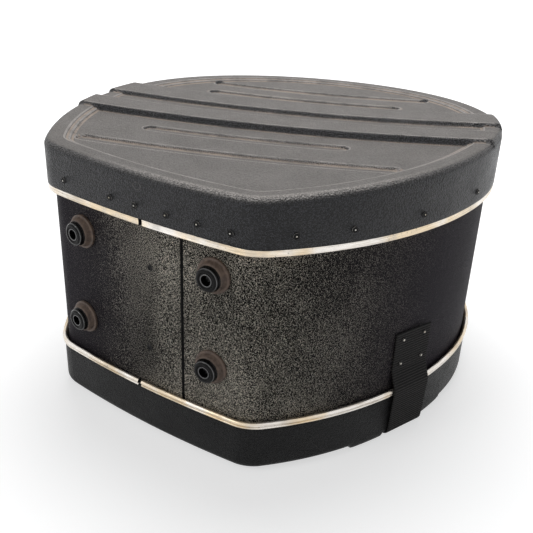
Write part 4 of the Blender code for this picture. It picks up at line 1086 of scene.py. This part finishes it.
def foot(number):
    """A rubber foot: a thin flange, dusted over, a cone, and a glossy cap with a collared recess and its
    screw, with rings of painted highlight round the cap's and collar's edges.
    """
    seat = seat_of(f"foot_{number}")
    flange = [(0.0, 0.0, 0), (0.0175, 0.0, 0.0003), (0.0175, 0.0024, 0.0008), (0.0158, 0.0031, 0.0005),
              (0.0153, 0.0029, 0.0003), (0.0139, 0.0076, 0.0016), (0.0131, 0.0084, 0.0004),
              (0.0127, 0.0083, 0.0003)]
    cap = [(0.0121, 0.0100, 0.0006), (0.0118, 0.0142, 0.0034), (0.0082, 0.0142, 0.0006),
           (0.0074, 0.0132, 0.0003), (0.0065, 0.0132, 0.0003)]
    collar = [(0.0062, 0.0139, 0.0003), (0.0052, 0.0139, 0.0003), (0.0049, 0.0120, 0.0004),
              (0.0048, 0.0083, 0.0002), (0.0, 0.0083, 0)]
    profile = filleted(flange + cap + collar, 6)
    screw = filleted([(0.0, 0.0084, 0), (0.0044, 0.0084, 0), (0.0044, 0.0092, 0.0005),
                      (0.0026, 0.0102, 0.0006), (0.0012, 0.0103, 0), (0.0010, 0.0095, 0),
                      (0.0, 0.0093, 0)], 3)
    parts = [(profile, 64, seat, [foot_look(*point) for point in profile[1:]]),
             (screw, 28, seat, [RIVET_LOOK] * (len(screw) - 1))]
    nodes = [f"foot_{number}", f"foot_screw_{number}"]
    spun_piece(f"foot_{number}_rubber", parts, "case_body", nodes)


for foot_number in (1, 2, 3, 4):
    foot(foot_number)


# Strap. Its plane stands along the turned direction: first coordinate along, second up

STRAP_ACROSS = direction(math.pi / 2 - BACK_TURN)
STRAP_BASE = STRAP_ACROSS * STRAP_PLACE
BAR_LOOP = BAR_RADIUS + TOUCH_GAP + TAB_THICKNESS
BAR_OUT = STRAP_CLEARANCE + BAR_LOOP
TAIL_OUT = BAR_OUT + BAR_LOOP + TOUCH_GAP


def strap_reach(side, inset):
    lines = (STRAP_PLACE - STRAP_WIDTH / 2, STRAP_PLACE, STRAP_PLACE + STRAP_WIDTH / 2)
    return max(reach(line, -BACK_TURN, side, inset) for line in lines)


def strap_side(side, wall_out):
    """The strap's path on one side: down the wall, over the lower edging's bead and round the lid's rim."""
    wall_face = strap_reach(side, WALL_INSET) + wall_out
    bead = strap_reach(side, BEAD_INSET - BEAD_RADIUS) + STRAP_CLEARANCE
    skirt = strap_reach(side, LID_SKIRT_INSET) + STRAP_CLEARANCE
    bead_level = LID_EDGE + TOUCH_GAP + BEAD_RISE
    out, down = SHOULDER_RADIUS + STRAP_CLEARANCE, SHOULDER_RADIUS + TOUCH_GAP
    path = [(wall_face, STRAP_LEAVES_WALL), (bead, bead_level + BEAD_RADIUS),
            (bead, bead_level - BEAD_RADIUS)]
    for turned_by in np.radians(np.linspace(0, -90, 9)):
        path.append((skirt - out + out * math.cos(turned_by),
                     LID_RIM + SHOULDER_RADIUS + down * math.sin(turned_by)))
    return path


def resampled(path, step):
    path = np.array(path)
    lengths = np.concatenate([[0], np.cumsum(np.linalg.norm(np.diff(path, axis=0), axis=1))])
    places = np.linspace(0, lengths[-1], int(lengths[-1] / step) + 1)
    return np.stack([np.interp(places, lengths, path[:, axis]) for axis in (0, 1)], 1), places


def webbing(name, path, width, thickness, base, along, across, body, passes=14):
    """A ribbed band on a path of (along, up) points at its inner face, the outside to the path's left.
    The path is softened by so many passes."""
    route, places = resampled(path, STRAP_STEP)
    for _ in range(passes):
        route[1:-1] = (route[:-2] + 2 * route[1:-1] + route[2:]) / 4
    tangent = np.gradient(route, axis=0)
    tangent /= np.linalg.norm(tangent, axis=1)[:, None]
    left = np.stack([-tangent[:, 1], tangent[:, 0]], 1)
    half = width / 2
    rim = thickness * BAND_RIM
    spread = np.linspace(-half + rim, half - rim, 17)
    outer = [(x, thickness * BAND_OUTER, 1.0) for x in spread]
    end = [(half - rim + rim * math.sin(turn), thickness * 0.5 + thickness * 0.47 * math.cos(turn), 0.6)
           for turn in np.radians((30, 60, 90, 120, 150))]
    inner = [(x, thickness * BAND_INNER, 0.0) for x in spread[::-1]]
    section = outer + end + inner + [(-x, z, share) for x, z, share in end[::-1]]
    points, uvs = [], []
    for (x, z), (out_x, out_z), place in zip(route, left, places):
        rib = RIB_DEPTH * (abs(math.sin(math.pi * place / RIB_PITCH)) ** 0.6 - 1)
        wander = STRAP_WANDER * noise.noise((place * STRAP_WANDER_RATE, 3, 0))
        for offset, lift, share in section:
            depth = lift + share * (rib + PLY_DEPTH * math.sin(offset * PLY_RATES[0] + place * PLY_RATES[1]))
            spot = base + along * float(x + out_x * depth) + UP * float(z + out_z * depth)
            points.append(tuple(spot + across * (offset * (1 + wander / half))))
            uvs.append((place, offset))
    faces = tube_faces(len(route), len(section))
    thing = made(name, points, faces, [WEBBING_LOOK], body, uvs=uvs, sharp=70)
    return thing


def strap():
    """The whole strap, from its riveted end down, under the lid and up to its tail behind the buckle."""
    near = [(strap_reach(1, WALL_INSET) + STRAP_CLEARANCE, STRAP_TOP)] + strap_side(1, STRAP_CLEARANCE)
    far = [(strap_reach(-1, WALL_INSET) + TAIL_OUT, BAR_HEIGHT + STRAP_TAIL)] + strap_side(-1, TAIL_OUT)
    path = near + [(-x, z) for x, z in far[::-1]]
    thing = webbing("strap_band", path, STRAP_WIDTH, STRAP_THICKNESS, STRAP_BASE, STRAP_ALONG, STRAP_ACROSS,
                    None)
    wall_face = STRAP_BASE + STRAP_ALONG * near[0][0] + ORIGIN
    tuple(wall_face + UP * 0.083)
    tuple(wall_face + UP * 0.0665)
    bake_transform(thing)
    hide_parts("strap_tab", "strap_run")


strap()


# Buckle, its pieces in a plane whose first coordinate runs out of the wall, the second up

BUCKLE_OUT = -STRAP_ALONG
BUCKLE_BASE = STRAP_BASE - STRAP_ALONG * strap_reach(-1, WALL_INSET)


def buckle_tab():
    """The folded loop of webbing that holds the buckle's bar."""
    front, top = STRAP_CLEARANCE + 2 * TAB_THICKNESS, BAR_HEIGHT + TAB_RISE
    path = [(front, top), (front, BAR_HEIGHT + TAB_FOLD)]
    path += [(BAR_OUT + BAR_LOOP * math.cos(turn), BAR_HEIGHT + BAR_LOOP * math.sin(turn))
             for turn in np.radians(np.linspace(30, -180, 20))]
    path += [(STRAP_CLEARANCE, top)]
    thing = webbing("buckle_loop", path, STRAP_WIDTH - TAB_NARROWER, TAB_THICKNESS * 0.96, BUCKLE_BASE,
                    BUCKLE_OUT, BUCKLE_OUT.cross(UP), "case_body", passes=8)
    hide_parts("buckle_tab")


def rounded(node, name, body, width):
    """A pressed or cast piece made from its solid's faces, with its sharp edges rounded over."""
    shape = bmesh.new()
    shape.from_mesh(NODES[node].data)
    bmesh.ops.remove_doubles(shape, verts=shape.verts, dist=1e-6)
    bmesh.ops.dissolve_limit(shape, angle_limit=math.radians(2), verts=shape.verts, edges=shape.edges)
    sharp = [edge for edge in shape.edges
             if len(edge.link_faces) == 2 and edge.calc_face_angle() > math.radians(40)]
    bmesh.ops.bevel(shape, geom=sharp, offset=width, segments=3, profile=0.5, affect="EDGES",
                    clamp_overlap=True)
    bmesh.ops.recalc_face_normals(shape, faces=shape.faces)
    mesh = bpy.data.meshes.new(name)
    shape.to_mesh(mesh)
    shape.free()
    mesh.materials.clear()
    mesh.materials.append(BLACK_LOOK)
    mesh.shade_smooth()
    mesh.set_sharp_from_angle(angle=math.radians(40))
    thing = placed(name, mesh, body)
    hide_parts(node)


def grip():
    """The handle's moulded grip, with rounded ends and shallow finger rings."""
    low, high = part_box("handle_grip")
    seat = Matrix(((0, 0, 1), (0, 1, 0), (-1, 0, 0))).to_4x4()
    seat.translation = (low + high) / 2 - ORIGIN
    half = (high.x - low.x) / 2
    profile = [(0, -half)]
    profile += [(GRIP_RADIUS - GRIP_END * (1 - math.sin(turn)), -half + GRIP_END * (1 - math.cos(turn)))
                for turn in np.radians((0, 30, 60))]
    for place in np.arange(-half + GRIP_END, half - GRIP_END + 1e-6, GRIP_STEP):
        wave = 0.5 - 0.5 * math.cos(2 * math.pi * (place + half - GRIP_END) / GRIP_RING_PITCH)
        profile.append((GRIP_RADIUS - GRIP_RING_DEPTH * wave ** 3, place))
    profile += [(radius, -place) for radius, place in profile[3::-1]]
    parts = [(profile, 40, seat, [GRIP_LOOK] * (len(profile) - 1))]
    spun_piece("grip_rubber", parts, "handle", ["handle_grip"])


buckle_tab()
rounded("buckle_frame", "buckle_wire", "case_body", 0.0005)
rounded("buckle_lever", "buckle_plate", "buckle_lever", 0.0004)
rounded("handle_bracket_1", "bracket_left", "case_body", 0.0005)
rounded("handle_bracket_2", "bracket_right", "case_body", 0.0005)
rounded("handle_bail", "bail_wire", "handle", 0.0004)
grip()


# Studio: a pale floor that fades into a white background, soft light from above and from the front

def floor():
    """A pale floor, with a light of its own that grows away from the case."""
    mesh = bpy.data.meshes.new("floor")
    corners = [(x * FLOOR_HALF, y * FLOOR_HALF, 0) for x, y in ((-1, -1), (1, -1), (1, 1), (-1, 1))]
    mesh.from_pydata(corners, [], [(0, 1, 2, 3)])
    look = bpy.data.materials.new("floor")
    look.use_nodes = True
    look.node_tree.nodes.clear()
    graph = Graph(look.node_tree)
    distance = graph.vector_math("LENGTH", graph.node("TexCoord", "Object"))
    glow = graph.background_shows() * graph.span(distance, *FLOOR_FADE, *FLOOR_GLOW)
    matt = graph.node("BsdfDiffuse", "BSDF", Color=(0.60, 0.60, 0.60))
    light = graph.node("Emission", "Emission", Color=(1, 1, 1), Strength=glow)
    graph.node("OutputMaterial", None, Surface=graph.node("AddShader", "Shader", values=(matt, light)))
    mesh.materials.append(look)
    thing = placed("floor", mesh)


def surroundings():
    """White where the background shows, and a dim cool light on everything else."""
    world = bpy.data.worlds.new("studio")
    bpy.context.scene.world = world
    world.use_nodes = True
    world.node_tree.nodes.clear()
    graph = Graph(world.node_tree)
    dim = graph.node("Background", "Background", Color=(0.93, 0.96, 1.0), Strength=0.17)
    white = graph.node("Background", "Background", Color=(1, 1, 1), Strength=1.0)
    choice = graph.node("MixShader", "Shader", values=(graph.background_shows(), dim, white))
    graph.node("OutputWorld", None, Surface=choice)


def lamp(name, place, target, size, power):
    light = bpy.data.lights.new(name, "AREA")
    light.shape = "DISK"
    light.size = size
    light.energy = power
    thing = placed(name, light)
    thing.location = place
    thing.rotation_euler = (Vector(target) - Vector(place)).to_track_quat("-Z", "Y").to_euler()


def camera():
    lens = bpy.data.cameras.new("camera")
    lens.lens = CAMERA_LENS
    lens.sensor_width = CAMERA_SENSOR
    lens.shift_x, lens.shift_y = CAMERA_SHIFT
    back_axis = -CAMERA_LOOK.normalized()
    level_right = UP.cross(back_axis).normalized()
    level_up = back_axis.cross(level_right)
    right = math.cos(CAMERA_ROLL) * level_right + math.sin(CAMERA_ROLL) * level_up
    matrix = Matrix((right, back_axis.cross(right), back_axis)).transposed().to_4x4()
    matrix.translation = CAMERA_PLACE
    thing = placed("camera", lens)
    thing.matrix_world = matrix
    bpy.context.scene.camera = thing


camera()
floor()
surroundings()
lamp("overhead", place=(-0.25, 0.45, 1.7), target=(0, 0, 0.25), size=1.2, power=26)
lamp("front_fill", place=(-0.75, -1.7, 1.3), target=(0, 0, 0.15), size=0.75, power=5.5)
bpy.context.scene.view_settings.view_transform = "Standard"
